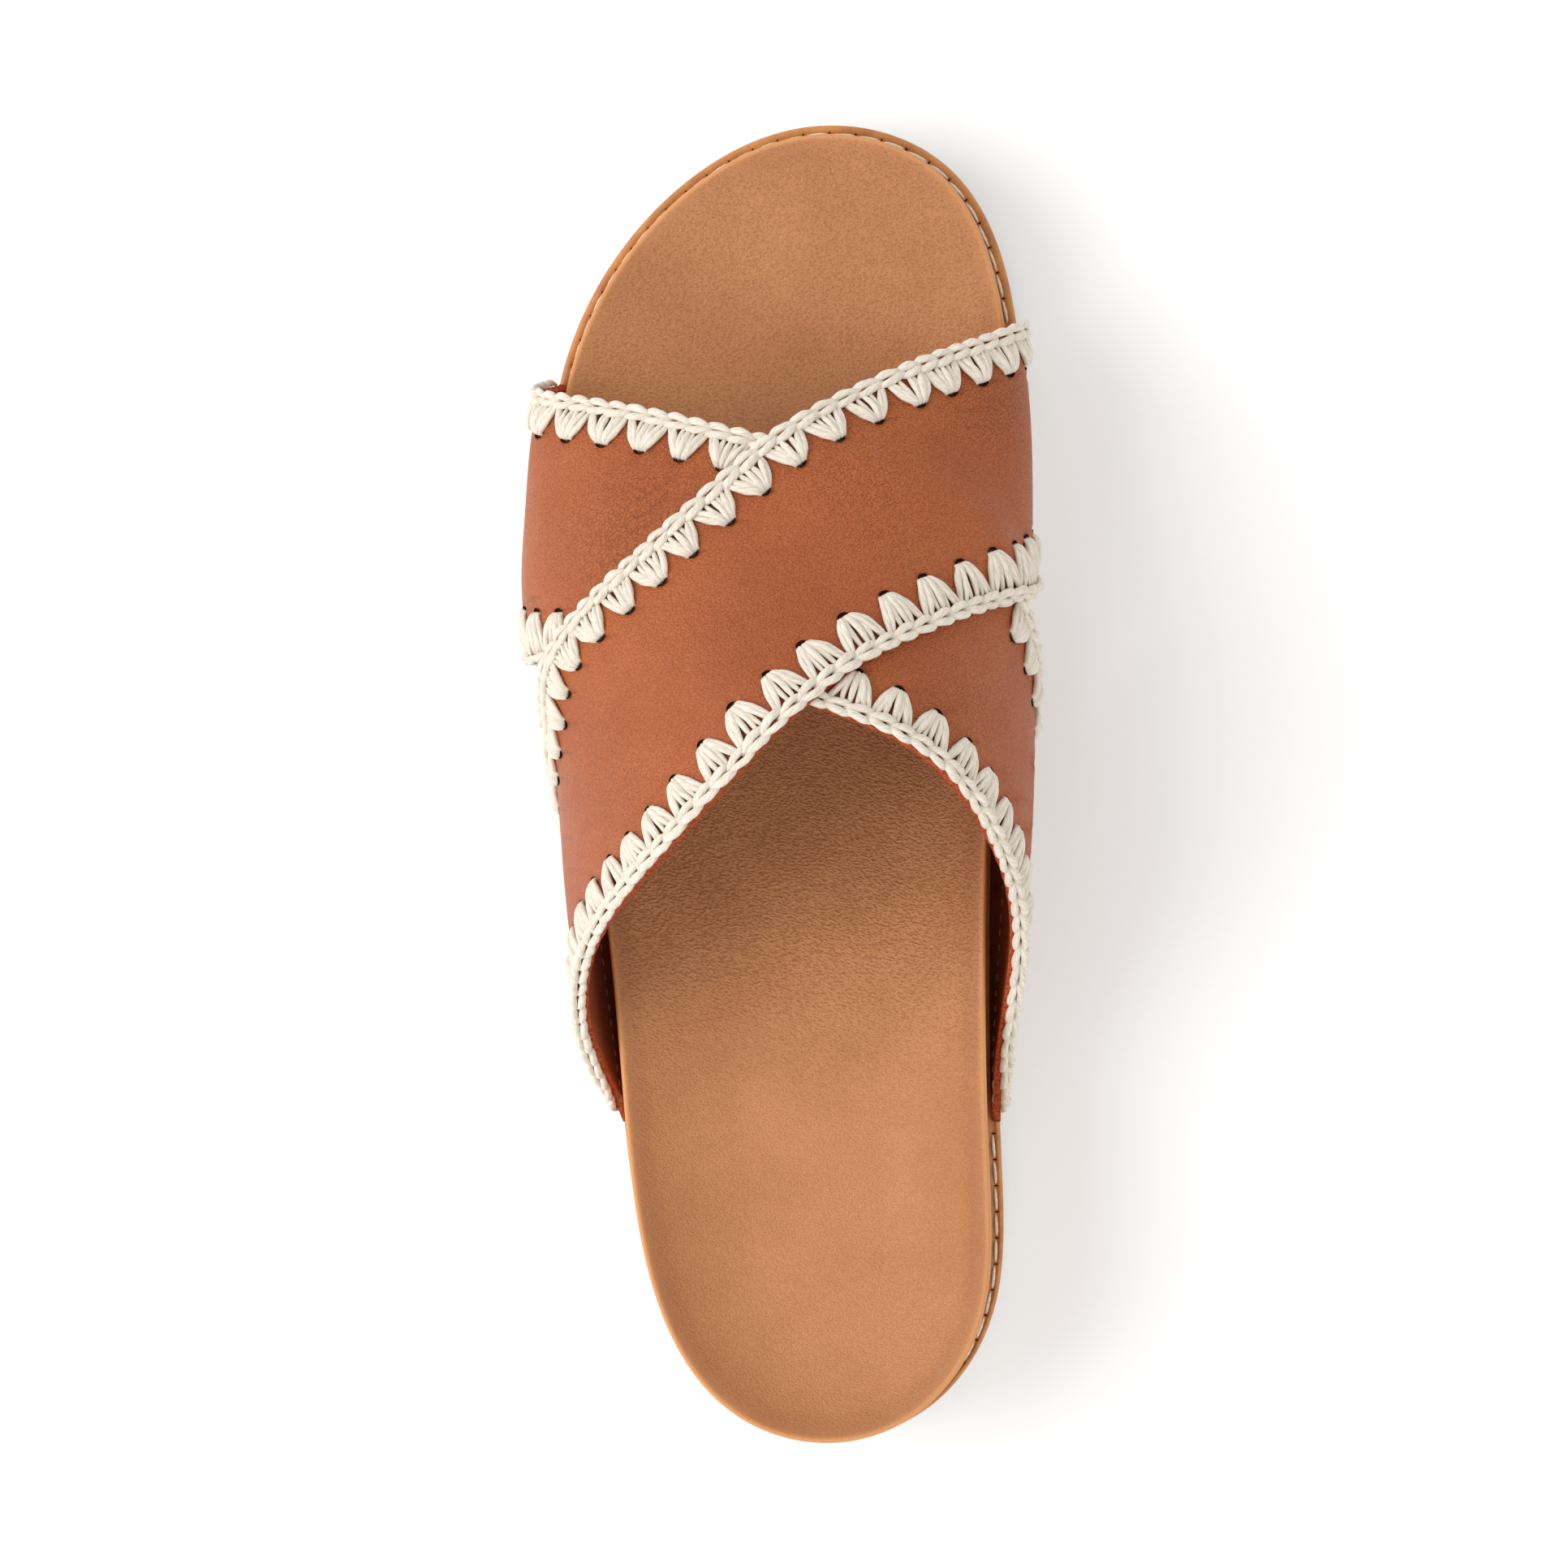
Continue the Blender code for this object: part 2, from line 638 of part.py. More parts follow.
def build_crochet(material, collection, parent):
    front_cross = crossing(over_front, under_front, 0.2, 0.8)
    lateral_cross = crossing(over_front, under_rear, 0.0, 0.5)
    rear_cross = crossing(over_rear, under_rear, 0.2, 0.8)
    medial_cross = crossing(over_rear, under_front, 0.5, 1.0)
    runs = [
        ("crochet_over_front", over_front, -1, over_lift, always_clear, 0.0, 1.0),
        ("crochet_over_rear", over_rear, 1, over_lift, always_clear, 0.0, 1.0),
        ("crochet_under_front_lateral", under_front, -1, no_lift, clear_of_upper_strap,
         0.0, front_cross),
        ("crochet_under_front_medial", under_front, -1, no_lift, clear_of_upper_strap,
         medial_cross, 1.0),
        ("crochet_under_rear_lateral", under_rear, 1, no_lift, clear_of_upper_strap,
         0.0, lateral_cross),
        ("crochet_under_rear_medial", under_rear, 1, no_lift, clear_of_upper_strap,
         rear_cross, 1.0),
    ]
    for name, edge, inward, lift, clear, first, last in runs:
        build_edging(name, edge, inward, lift, clear, first, last, material, collection, parent)


def build_sandal():
    for item in list(bpy.data.objects):
        bpy.data.objects.remove(item, do_unlink=True)
    parts = make_collection("crossed_strap_sandal")
    cutters = make_collection("cutters")
    last = bpy.data.objects.new("last", None)
    last.location = (-FRAME_CENTRE_X * MM, -FRAME_CENTRE_Y * MM, 0.0)
    parts.objects.link(last)
    materials = {name: make_material(name) for name in FINISHES}
    build_outsole(materials["sole_rubber"], parts, last)
    build_welt(materials["welt_leather"], parts, last)
    build_footbed(materials["footbed_leather"], parts, last)
    build_upper(materials["strap_leather"], parts, cutters, last)
    build_crochet(materials["crochet_yarn"], parts, last)


build_sandal()
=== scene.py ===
"""Looks of the left crossed-strap sandal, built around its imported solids.

Sizes are in millimetres in the last's own frame, as in the part's source. in_row_frame() turns them
into metres in the row frame: +X to the big-toe side, +Y to the toe, +Z up from the floor.
"""

import math
from collections import namedtuple

import bpy
import numpy as np
from mathutils import Matrix, Vector


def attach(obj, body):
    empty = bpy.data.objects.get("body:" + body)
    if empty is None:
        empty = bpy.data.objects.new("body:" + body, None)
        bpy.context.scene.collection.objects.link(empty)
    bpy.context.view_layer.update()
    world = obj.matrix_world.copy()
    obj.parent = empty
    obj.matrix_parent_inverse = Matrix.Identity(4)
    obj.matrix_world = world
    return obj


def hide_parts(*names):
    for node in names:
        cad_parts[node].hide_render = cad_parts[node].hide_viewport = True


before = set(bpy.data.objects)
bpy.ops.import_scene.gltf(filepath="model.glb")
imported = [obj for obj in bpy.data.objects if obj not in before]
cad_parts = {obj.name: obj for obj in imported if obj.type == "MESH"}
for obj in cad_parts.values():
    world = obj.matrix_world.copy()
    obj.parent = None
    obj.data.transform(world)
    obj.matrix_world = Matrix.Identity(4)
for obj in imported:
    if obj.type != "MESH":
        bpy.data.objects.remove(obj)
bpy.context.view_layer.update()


def rows(names, *values):
    """Table of rows with named columns."""
    row = namedtuple("row", names)
    return [row(*value) for value in values]


MM = 0.001
FULL_TURN = 2.0 * math.pi
UP = np.array([0.0, 0.0, 1.0])
FRAME_CENTRE = np.array([0.045, -0.575, 0.0])
rng = np.random.default_rng(7)

# Camera
EYE = Vector((62.15, 0.6, 1100.0))
AIM = Vector((0.0, 0.0, 26.0))
LENS = 124.68
SENSOR = 36.0

# Studio, in metres and watts
WHITE = (1.0, 1.0, 1.0, 1.0)
SKY_STRENGTH = 0.80
FLOOR_HALF = 3.0
FLOOR_GLOW = 0.08
LIGHT_TARGET = Vector((0.0, 0.0, 0.03))
LIGHTS = rows(
    "name place size power",
    ("key", (-1.2, 0.05, 1.1), 1.5, 18.0),
    ("side", (1.2, 0.2, 1.3), 1.0, 2.0),
    ("fill", (0.1, -1.3, 0.75), 1.0, 3.5),
)

# Sole layers, as in the part's source
FIT_GAP = 0.3
SOLE_THICKNESS = 13.0
TOE_SPRING = 5.0
SPRING_START = 58.0
WAIST_RELIEF = 1.5
WAIST_MIDDLE = -22.0
WAIST_LENGTH = 76.0
WAIST_STEEPNESS = 1.6
TREAD_CHAMFER = 1.6
WELT_THICKNESS = 2.4
LEDGE_HEEL = 1.9
LEDGE_TOE = 2.4
SOLE_TUCK_HEEL = 0.5
SOLE_FLARE_TOE = 0.05
SOLE_FLARE_TIP = 0.2
SOLE_TIP_START = 95.0
OUTLINE_ROWS = 180

# Upper, as in the part's source
STRAP_THICKNESS = 1.8
STRAP_STANDOFF = 0.35
SIDE_SHARE = 0.12
CROSS_CLEAR = 0.6
CROSS_FUSE = 0.5
CROSS_RAMP = 16.0
TURN_STEP = 0.002
GIRTH_STEP = 0.003
Y_STEP = 0.2

OUTLINE = rows(
    "place x y",
    ("heel back", 8.8, -129.8),
    ("heel corner lateral", -10.0, -123.6),
    ("heel lateral", -24.6, -101.3),
    ("heel breast lateral", -29.7, -76.5),
    ("waist lateral", -34.3, -32.0),
    ("shank lateral", -40.5, 8.0),
    ("ball lateral", -45.3, 48.0),
    ("little toe", -43.2, 79.5),
    ("fourth toe", -33.5, 101.5),
    ("toe corner lateral", -16.0, 119.5),
    ("toe tip", 9.0, 128.1),
    ("toe corner medial", 29.8, 121.2),
    ("big toe", 40.8, 103.5),
    ("ball medial", 44.7, 62.0),
    ("shank medial", 41.8, 18.0),
    ("arch medial", 40.3, -22.0),
    ("heel breast medial", 40.7, -70.0),
    ("heel medial", 40.3, -102.0),
    ("heel corner medial", 30.3, -121.0),
)
TOE_TIP_INDEX = 10

BED = rows(
    "y floor rim_lateral rim_medial",
    (-130.0, 15.0, 22.0, 22.0),
    (-95.0, 14.0, 22.0, 23.0),
    (-60.0, 13.5, 19.0, 22.0),
    (-25.0, 12.0, 15.5, 20.0),
    (10.0, 9.5, 12.0, 14.5),
    (45.0, 7.0, 9.4, 9.8),
    (85.0, 5.8, 7.6, 7.0),
    (130.0, 5.2, 6.6, 6.6),
)
BED_RIM_BLEND = 25.0

# Footbed from its base over the rim into the dish: inset from the outline, share of the rise
# from dish floor to rim, and drop below that
BED_RINGS = rows(
    "inset share drop",
    (0.6, 1.0, 22.0),
    (0.15, 1.0, 4.0),
    (0.0, 1.0, 2.2),
    (0.05, 1.0, 1.0),
    (0.2, 1.0, 0.42),
    (0.45, 1.0, 0.1),
    (0.75, 1.0, 0.0),
    (1.2, 0.98, 0.04),
    (1.8, 0.94, 0.08),
    (2.8, 0.86, 0.04),
    (4.6, 0.7, 0.0),
    (7.0, 0.5, 0.0),
    (9.5, 0.345, 0.0),
    (13.0, 0.18, 0.0),
    (17.0, 0.06, 0.0),
    (21.0, 0.0, 0.0),
)
WALL_RINGS = 3
BED_COLUMNS = 16

# Soft hollows and a ridge pressed into the dish by toes and heel
HOLLOWS = rows(
    "x y radius_x radius_y rise",
    (-14.0, 86.0, 13.0, 16.0, -0.55),
    (22.0, 90.0, 12.0, 15.0, -0.55),
    (5.0, 101.0, 8.0, 9.0, 0.35),
    (7.0, -92.0, 22.0, 26.0, -0.35),
)

SECTIONS = rows(
    "y crown_x crown_z widest bulge_lateral bulge_medial slim",
    (-75.0, 9.0, 104.0, 23.0, 0.8, 0.6, 1.3),
    (-50.0, 9.0, 100.0, 22.0, 3.9, 2.4, 1.3),
    (-20.0, 9.0, 93.0, 21.0, 4.4, 6.0, 1.3),
    (15.0, 8.0, 81.5, 20.0, 2.8, 6.0, 1.2),
    (30.0, 6.4, 74.8, 19.5, 4.5, 4.7, 1.15),
    (40.0, 5.0, 70.0, 19.0, 4.3, 3.8, 1.1),
    (52.0, 3.4, 64.1, 18.2, 3.0, 3.0, 1.05),
    (65.0, 2.0, 58.0, 17.0, 2.3, 2.3, 1.0),
    (95.0, 1.0, 45.5, 13.0, 1.4, 0.6, 1.0),
)

STRAP_EDGES = rows(
    "girth over_front over_rear under_front under_rear",
    (0.00, -18.0, -68.0, 79.0, 27.5),
    (0.12, 5.0, -50.5, 76.5, 25.0),
    (0.18, 13.0, -41.0, 75.2, 23.8),
    (0.25, 24.5, -30.5, 73.6, 23.0),
    (0.35, 39.6, -15.8, 70.8, 21.0),
    (0.50, 65.3, 13.0, 63.3, 13.7),
    (0.65, 80.1, 28.5, 53.8, 1.8),
    (0.75, 85.3, 34.3, 42.6, -13.7),
    (0.82, 87.8, 37.1, 31.0, -26.0),
    (0.88, 89.0, 38.8, 22.5, -39.5),
    (1.00, 90.0, 40.5, 0.0, -68.0),
)

# Strap surface detail
STRAP_GIRTH = 190.0       # length of a strap round the foot
STRAP_GIRTH_STEPS = 270
STRAP_OUTER_STEPS = 96
STRAP_INNER_STEPS = 24
EDGE_STEPS = 5
EDGE_ROUND = 0.25
EDGE_BEVEL = 0.45         # the lining side of a cut edge lies further in
EDGE_WAVE = 0.14          # ragged cut of the leather
EDGE_WAVE_LENGTH = 4.3
WORN_EVERYWHERE = 0.12
HOLE_DIMPLE = 0.45
HOLE_DIMPLE_RADIUS = 1.5
HOLE_DIMPLE_REACH = 5.0
# Painted shade round each hole reaches this far
HOLE_SHADE_RADIUS = 1.15
FULL_CREASE = 0.25        # depth of a crease that is shaded in full

# Creases of the straps in plan: ends, sideways bow, half width and depth
Crease = namedtuple("Crease", "over x0 y0 x1 y1 bow width depth")
CREASES = [
    Crease(False, -18.0, 59.0, -27.0, 54.0, 0.5, 0.6, 0.12),
    Crease(False, -19.0, 55.5, -30.0, 49.0, 0.6, 0.6, 0.14),
    Crease(False, -22.0, 50.5, -34.0, 44.0, 0.5, 0.6, 0.13),
    Crease(False, -27.0, 44.5, -37.0, 38.5, 0.4, 0.6, 0.10),
    Crease(True, 44.0, 73.0, 33.0, 71.8, 0.4, 0.7, 0.10),
    Crease(True, 45.0, 69.3, 35.0, 68.8, 0.4, 0.7, 0.08),
    Crease(True, 20.0, 66.0, 8.0, 60.0, -0.6, 0.8, 0.08),
    Crease(True, -22.0, 6.0, -32.0, -5.0, 0.8, 0.9, 0.08),
    Crease(True, -18.0, 2.0, -29.0, -10.0, 0.8, 0.9, 0.08),
    Crease(False, 34.0, 14.0, 26.0, 19.0, -0.4, 0.8, 0.09),
    Crease(False, 38.0, 8.0, 29.0, 12.5, -0.4, 0.8, 0.09),
]

# Patches of painted shade on the footbed, in the toe dip under the strap and beside the lateral strap wall:
# middle, reach and strength
BED_SHADE_PATCHES = rows(
    "x y wide long stain",
    (6.0, 86.0, 13.0, 6.0, 0.20),
    (-22.0, 93.0, 14.0, 16.0, 0.16),
    (-17.0, -46.0, 13.0, 16.0, 0.15),
    (14.0, -110.0, 14.0, 12.0, 0.06),
)

# Patches where the strap leather is wrinkled, and where shade is painted darker: middle, reach, wrinkles and
# painted shade
WRINKLES_AND_SHADE = rows(
    "over x y reach wrinkles stain",
    (False, -24.0, 51.0, 13.0, 0.50, 0.12),
    (False, -36.0, 44.0, 10.0, 0.30, 0.10),
    (False, 34.0, 16.0, 12.0, 0.40, 0.0),
    (True, 40.0, 72.0, 9.0, 0.50, 0.0),
    (True, 14.0, 62.0, 14.0, 0.35, 0.0),
    (True, -26.0, 0.0, 16.0, 0.18, 0.10),
    (True, 25.0, 42.0, 14.0, 0.25, 0.0),
    (True, -4.0, 30.0, 20.0, 0.0, 0.30),
)

# Crochet: chain of links on the strap edge and fans of strands that meet in punched holes
FAN_PITCH = 8.6
CHAIN_HALF = 0.92
EDGING_END = 3.0
EDGE_SAMPLES = 600
WALK_STEPS = 7
ACROSS_REACH = 5.0        # the way across an edge is evened out over this much of it
FRONT_CHAIN = 0.55        # middle of the chain, in from a front edge
FRONT_HOLE = 7.2
REAR_CHAIN = 1.30         # and in from a rear edge, where the cut leather shows
REAR_CHAIN_STEEP = 0.25   # the same where the strap stands upright
REAR_HOLE = 9.2
REAR_LEAN = 0.15          # turn of the chain over a rear edge, radians
REAR_LEAN_STEEP = 1.15
STEEP_START = 0.75        # upward share of the normal below which a strap counts as steep
STEEP_RANGE = 0.55
STEEP_FOOT = 14.0         # height from which a strap may count as steep
STEEP_FADE = 16.0
UNDERLAP = 9.0            # the lower strap's crochet runs on beneath the upper strap

# One leg strand of a fan: places along the edge at the chain and at the hole, sideways bow,
# height and thickness
FAN = rows(
    "chain hole bow rise radius",
    (-4.05, -1.05, -0.48, 0.70, 0.68),
    (-3.30, -0.74, -0.10, 1.02, 0.66),
    (-1.25, -0.38, -0.36, 0.92, 0.62),
    (0.10, 0.00, 0.05, 1.22, 0.66),
    (1.30, 0.38, 0.38, 0.94, 0.62),
    (3.25, 0.74, 0.10, 1.04, 0.66),
    (4.00, 1.05, 0.46, 0.72, 0.68),
)
FAN_SLACK = np.array([0.22, 0.07, 0.18, 0.09, 0.07])    # how far each of these strays
FAN_WAY = np.array([0.0, 0.30, 0.64, 0.93, 1.03])       # shares of the way from chain to hole
FAN_BOW = np.array([0.0, 0.75, 1.0, 0.25, 0.0])
FAN_SWELL = np.array([0.58, 0.98, 1.10, 0.90, 0.45])
FAN_SAMPLES = 13

# One side of a chain link: run along the edge, share of the half width, height and thickness
LINK = rows(
    "run spread rise radius",
    (-0.45, 0.10, 0.20, 0.34),
    (0.80, 0.44, 0.90, 0.66),
    (2.35, 0.88, 1.18, 0.82),
    (3.90, 1.04, 1.06, 0.80),
    (5.05, 0.92, 0.60, 0.56),
    (5.70, 0.70, 0.10, 0.28),
)
LINK_SLACK = np.array([0.10, 0.06, 0.09])
LINK_RISE = 0.6
LINK_SAMPLES = 15

# Punched holes: half sizes along and across the edge, and the height of the rim
HOLE_LONG = 1.12
HOLE_WIDE = 0.72
HOLE_SHIFT = 0.38
HOLE_RIM = 0.22
HOLE_RINGS = 5
HOLE_SIDES = 16

# Stitching
STITCH_MARGIN = 0.50      # seam out from the footbed
STITCH_PITCH = 5.2
STITCH_RADIUS = 0.32
STITCH_SLANT = 0.22
STITCH_SAMPLES = 15
STITCH_BOW = np.array([-0.45, 0.02, 0.16, 0.20, 0.16, 0.02, -0.45])
STITCH_SWELL = np.array([0.45, 0.85, 1.0, 1.04, 1.0, 0.85, 0.45])
NEEDLE_HALF = 0.46        # half length of the slit that the needle leaves
NEEDLE_SHIFT = 0.18
NEEDLE_SWELL = np.array([0.05, 0.15, 0.19, 0.15, 0.05])
LINING_STITCH = 0.036     # place of the row up the strap's girth
LINING_END = 4.0
LINING_PITCH = 3.0
LINING_LENGTH = 1.9
LINING_RADIUS = 0.20
LINING_BOW = np.array([-0.25, 0.06, 0.10, 0.06, -0.25])
LINING_SAMPLES = 9

# Sections of yarn: sides of the tube, plies, turns of the plies and flatness
Yarn = namedtuple("Yarn", "sides plies twist flat")
FAN_YARN = Yarn(12, 3, 0.8, 0.95)
LINK_YARN = Yarn(14, 3, 1.0, 0.92)
WELT_THREAD = Yarn(10, 3, 1.1, 0.85)
NEEDLE_SLIT = Yarn(8, 2, 0.0, 0.8)
LINING_THREAD = Yarn(8, 2, 0.8, 0.9)
PLY_CORE = 0.84
PLY_LOBE = 0.22

Edging = namedtuple("Edging", "node edge inward over first last")
Strap = namedtuple("Strap", "rear front lift over")
Skin = namedtuple("Skin", "points faces values")

# Fans of each edge: number of a fan and its place along the edge, with even steps between
FAN_ANCHORS = {
    "crochet_over_front": [
        (0, 7.5), (8, 73.0), (11, 95.8), (14, 123.0), (17, 152.6), (20, 174.5), (22, 191.5)],
    "crochet_over_rear": [(0, 7.5), (10, 93.0), (19, 176.0), (24, 218.5)],
    "crochet_under_front_lateral": [(0, 8.0), (8, 77.5)],
    "crochet_under_front_medial": [(0, 6.5), (5, 49.0)],
    "crochet_under_rear_lateral": [(0, 6.5), (5, 49.0)],
    "crochet_under_rear_medial": [(0, 8.5), (14, 130.5)],
}


# Shape functions of the last, for arrays
def spline(knots, values, period=None):
    """Smooth cubic through the knots: natural at open ends, closed where a period is given."""
    knots = np.asarray(knots, float)
    values = np.asarray(values, float)
    count = len(knots)
    if period is not None:
        knots = np.append(knots, knots[0] + period)
        values = np.append(values, values[0])
    steps = np.diff(knots)
    rises = np.diff(values) / steps
    matrix = np.eye(count)
    right = np.zeros(count)
    for i in range(count) if period is not None else range(1, count - 1):
        before = i - 1 if i > 0 else count - 1
        after = (i + 1) % count
        matrix[i, i] = 2.0 * (steps[before] + steps[i])
        matrix[i, before] = steps[before]
        matrix[i, after] = steps[i]
        right[i] = 6.0 * (rises[i] - rises[before])
    bends = np.linalg.solve(matrix, right)
    if period is not None:
        bends = np.append(bends, bends[0])

    def value(position):
        position = np.asarray(position, float)
        if period is not None:
            position = knots[0] + (position - knots[0]) % period
        position = np.clip(position, knots[0], knots[-1])
        i = np.clip(np.searchsorted(knots, position, side="right") - 1, 0, len(knots) - 2)
        a = (knots[i + 1] - position) / steps[i]
        b = 1.0 - a
        bend = (a ** 3 - a) * bends[i] + (b ** 3 - b) * bends[i + 1]
        return a * values[i] + b * values[i + 1] + bend * steps[i] ** 2 / 6.0

    return value


def curves(table):
    """Smooth curves of a table's further columns over its first one."""
    first, *others = np.array(table).T
    return [spline(first, other) for other in others]


def smoothstep(t):
    t = np.clip(t, 0.0, 1.0)
    return t * t * (3.0 - 2.0 * t)


def bell(t):
    return np.exp(-t * t)


def unit(vectors):
    return vectors / np.maximum(np.linalg.norm(vectors, axis=-1, keepdims=True), 1e-9)


def path_lengths(points):
    """Length of a path up to each of its points."""
    return np.concatenate([[0.0], np.cumsum(np.linalg.norm(np.diff(points, axis=0), axis=1))])


HEEL_Y = OUTLINE[0].y
TOE_Y = OUTLINE[TOE_TIP_INDEX].y
MID_Y = 0.5 * (HEEL_Y + TOE_Y)
HALF_LENGTH = 0.5 * (TOE_Y - HEEL_Y)


def turn_at(y, lateral):
    angle = np.arccos(np.clip((MID_Y - y) / HALF_LENGTH, -1.0, 1.0))
    return np.where(lateral, angle, FULL_TURN - angle)


def y_at(turn):
    return MID_Y - HALF_LENGTH * np.cos(turn)


outline_x = spline(
    [float(turn_at(mark.y, i <= TOE_TIP_INDEX)) for i, mark in enumerate(OUTLINE)],
    [mark.x for mark in OUTLINE],
    period=FULL_TURN,
)
bed_floor, bed_rim_lateral, bed_rim_medial = curves(BED)
crown_x, crown_z, widest, bulge_lateral, bulge_medial, slim = curves(SECTIONS)
over_front, over_rear, under_front, under_rear = curves(STRAP_EDGES)


def outline_plan(turn):
    return np.stack([outline_x(turn), y_at(turn)], -1)


def outline_at(turn, margin):
    """Points of the outline in plan, moved outwards by the margin."""
    tangent = outline_plan(turn + TURN_STEP) - outline_plan(turn - TURN_STEP)
    outward = np.stack([-tangent[..., 1], tangent[..., 0]], -1)
    outward /= np.linalg.norm(outward, axis=-1, keepdims=True)
    return outline_plan(turn) + outward * np.asarray(margin)[..., None]


def spring(y):
    run = np.maximum(0.0, (y - SPRING_START) / (TOE_Y - SPRING_START))
    return TOE_SPRING * run * run


def tread(y):
    reach = np.abs(y - WAIST_MIDDLE) / (0.5 * WAIST_LENGTH)
    return spring(y) + WAIST_RELIEF * smoothstep(WAIST_STEEPNESS * (1.0 - reach))


def sole_top(y):
    return SOLE_THICKNESS + spring(y)


def welt_bottom(y):
    return sole_top(y) + FIT_GAP


def welt_top(y):
    return welt_bottom(y) + WELT_THICKNESS


def bed_bottom(y):
    return welt_top(y) + FIT_GAP


def toe_share(y):
    return smoothstep((y - HEEL_Y) / (TOE_Y - HEEL_Y))


def ledge(y):
    return LEDGE_HEEL + (LEDGE_TOE - LEDGE_HEEL) * toe_share(y)


def sole_margin(y):
    tip = SOLE_FLARE_TIP * smoothstep((y - SOLE_TIP_START) / (TOE_Y - SOLE_TIP_START))
    return ledge(y) - SOLE_TUCK_HEEL + (SOLE_TUCK_HEEL + SOLE_FLARE_TOE) * toe_share(y) + tip


def dish_floor(y):
    return bed_bottom(y) + bed_floor(y)


def bed_height(y, lateral, share, drop):
    """Footbed between dish floor (share 0) and rim (share 1), less a drop."""
    edge = smoothstep((HALF_LENGTH - np.abs(y - MID_Y)) / BED_RIM_BLEND)
    mean = 0.5 * (bed_rim_lateral(y) + bed_rim_medial(y))
    side = np.where(lateral, bed_rim_lateral(y), bed_rim_medial(y))
    rim = mean + (side - mean) * edge
    return np.maximum(dish_floor(y) + (rim - bed_floor(y)) * share - drop, bed_bottom(y))


def lining(girth, y):
    """Points of the upper's lining: side walls that bulge, and an arch over the crown."""
    girth, y = np.broadcast_arrays(np.asarray(girth, float), np.asarray(y, float))
    lateral = girth < 0.5
    foot = np.where(
        lateral,
        outline_x(turn_at(y, True)) - STRAP_STANDOFF,
        outline_x(turn_at(y, False)) + STRAP_STANDOFF,
    )
    wide = foot + np.where(lateral, -bulge_lateral(y), bulge_medial(y))
    foot_z = bed_bottom(y)
    wide_z = foot_z + widest(y)
    rise = np.minimum(np.minimum(girth, 1.0 - girth) / SIDE_SHARE, 1.0)
    side_x = foot + (wide - foot) * np.sin(0.5 * math.pi * rise)
    side_z = foot_z + widest(y) * rise
    sweep = np.clip(math.pi * (girth - SIDE_SHARE) / (1.0 - 2.0 * SIDE_SHARE), 0.0, math.pi)
    middle = crown_x(y)
    arch_x = middle - np.abs(middle - wide) * np.cos(sweep)
    arch_z = wide_z + (crown_z(y) - wide_z) * np.maximum(np.sin(sweep), 0.0) ** slim(y)
    inside = (girth > SIDE_SHARE) & (girth < 1.0 - SIDE_SHARE)
    return np.stack([np.where(inside, arch_x, side_x), y, np.where(inside, arch_z, side_z)], -1)


def lining_frame(girth, y):
    """Directions of the lining along its girth and along y, and its normal."""
    along_girth = (lining(girth + GIRTH_STEP, y) - lining(girth - GIRTH_STEP, y)) / (2.0 * GIRTH_STEP)
    along_y = (lining(girth, y + Y_STEP) - lining(girth, y - Y_STEP)) / (2.0 * Y_STEP)
    return along_girth, along_y, unit(np.cross(along_girth, along_y))


def upper_point(girth, y, offset):
    """Points at an offset outside the lining, never below the welt, and the normals there."""
    normal = lining_frame(girth, y)[2]
    point = lining(girth, y) + normal * np.asarray(offset)[..., None]
    point[..., 2] = np.maximum(point[..., 2], bed_bottom(point[..., 1]))
    return point, normal


def over_lift(girth, y):
    depth = np.minimum(y - under_rear(girth), under_front(girth) - y)
    climb = smoothstep(1.0 + depth / CROSS_RAMP)
    settle = smoothstep(depth / CROSS_RAMP)
    return climb * (STRAP_THICKNESS + CROSS_CLEAR) - settle * (CROSS_CLEAR + CROSS_FUSE)


def no_lift(girth, y):
    return np.zeros(np.broadcast(girth, y).shape)


STRAPS = [
    Strap(over_rear, over_front, over_lift, True),
    Strap(under_rear, under_front, no_lift, False),
]


# Mesh helpers
def in_row_frame(points):
    return (np.asarray(points, float) - FRAME_CENTRE) * MM


def add_object(name, data):
    made = bpy.data.objects.new(name, data)
    bpy.context.scene.collection.objects.link(made)
    return made


def loop_faces(loops, columns):
    """Quads between loops of points, each with as many columns and closed on itself."""
    i, j = np.meshgrid(np.arange(loops - 1), np.arange(columns), indexing="ij")
    k = (j + 1) % columns
    low = i * columns
    high = low + columns
    return np.stack([high + j, high + k, low + k, low + j], -1).reshape(-1, 4)


def make_piece(name, skin, materials, nodes=(), kinds=None):
    """Smooth mesh that rides on the shoe and stands for CAD nodes, with named point values."""
    mesh = bpy.data.meshes.new(name)
    mesh.from_pydata(in_row_frame(skin.points).tolist(), [], skin.faces)
    for material in materials:
        mesh.materials.append(material)
    if kinds is not None:
        mesh.polygons.foreach_set("material_index", np.asarray(kinds, np.int32))
    for key, data in skin.values.items():
        attribute = mesh.attributes.new(key, "FLOAT", "POINT")
        attribute.data.foreach_set("value", np.asarray(data, np.float32).ravel())
    mesh.shade_smooth()
    mesh.update()
    piece = add_object(name, mesh)
    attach(piece, "root")
    if nodes:
        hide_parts(*nodes)


def join(skins):
    """One skin from several, with their point values."""
    faces = []
    start = 0
    for skin in skins:
        faces += [[v + start for v in face] for face in skin.faces]
        start += len(skin.points)
    values = {key: np.concatenate([skin.values[key] for skin in skins]) for key in skins[0].values}
    return Skin(np.concatenate([skin.points for skin in skins]), faces, values)


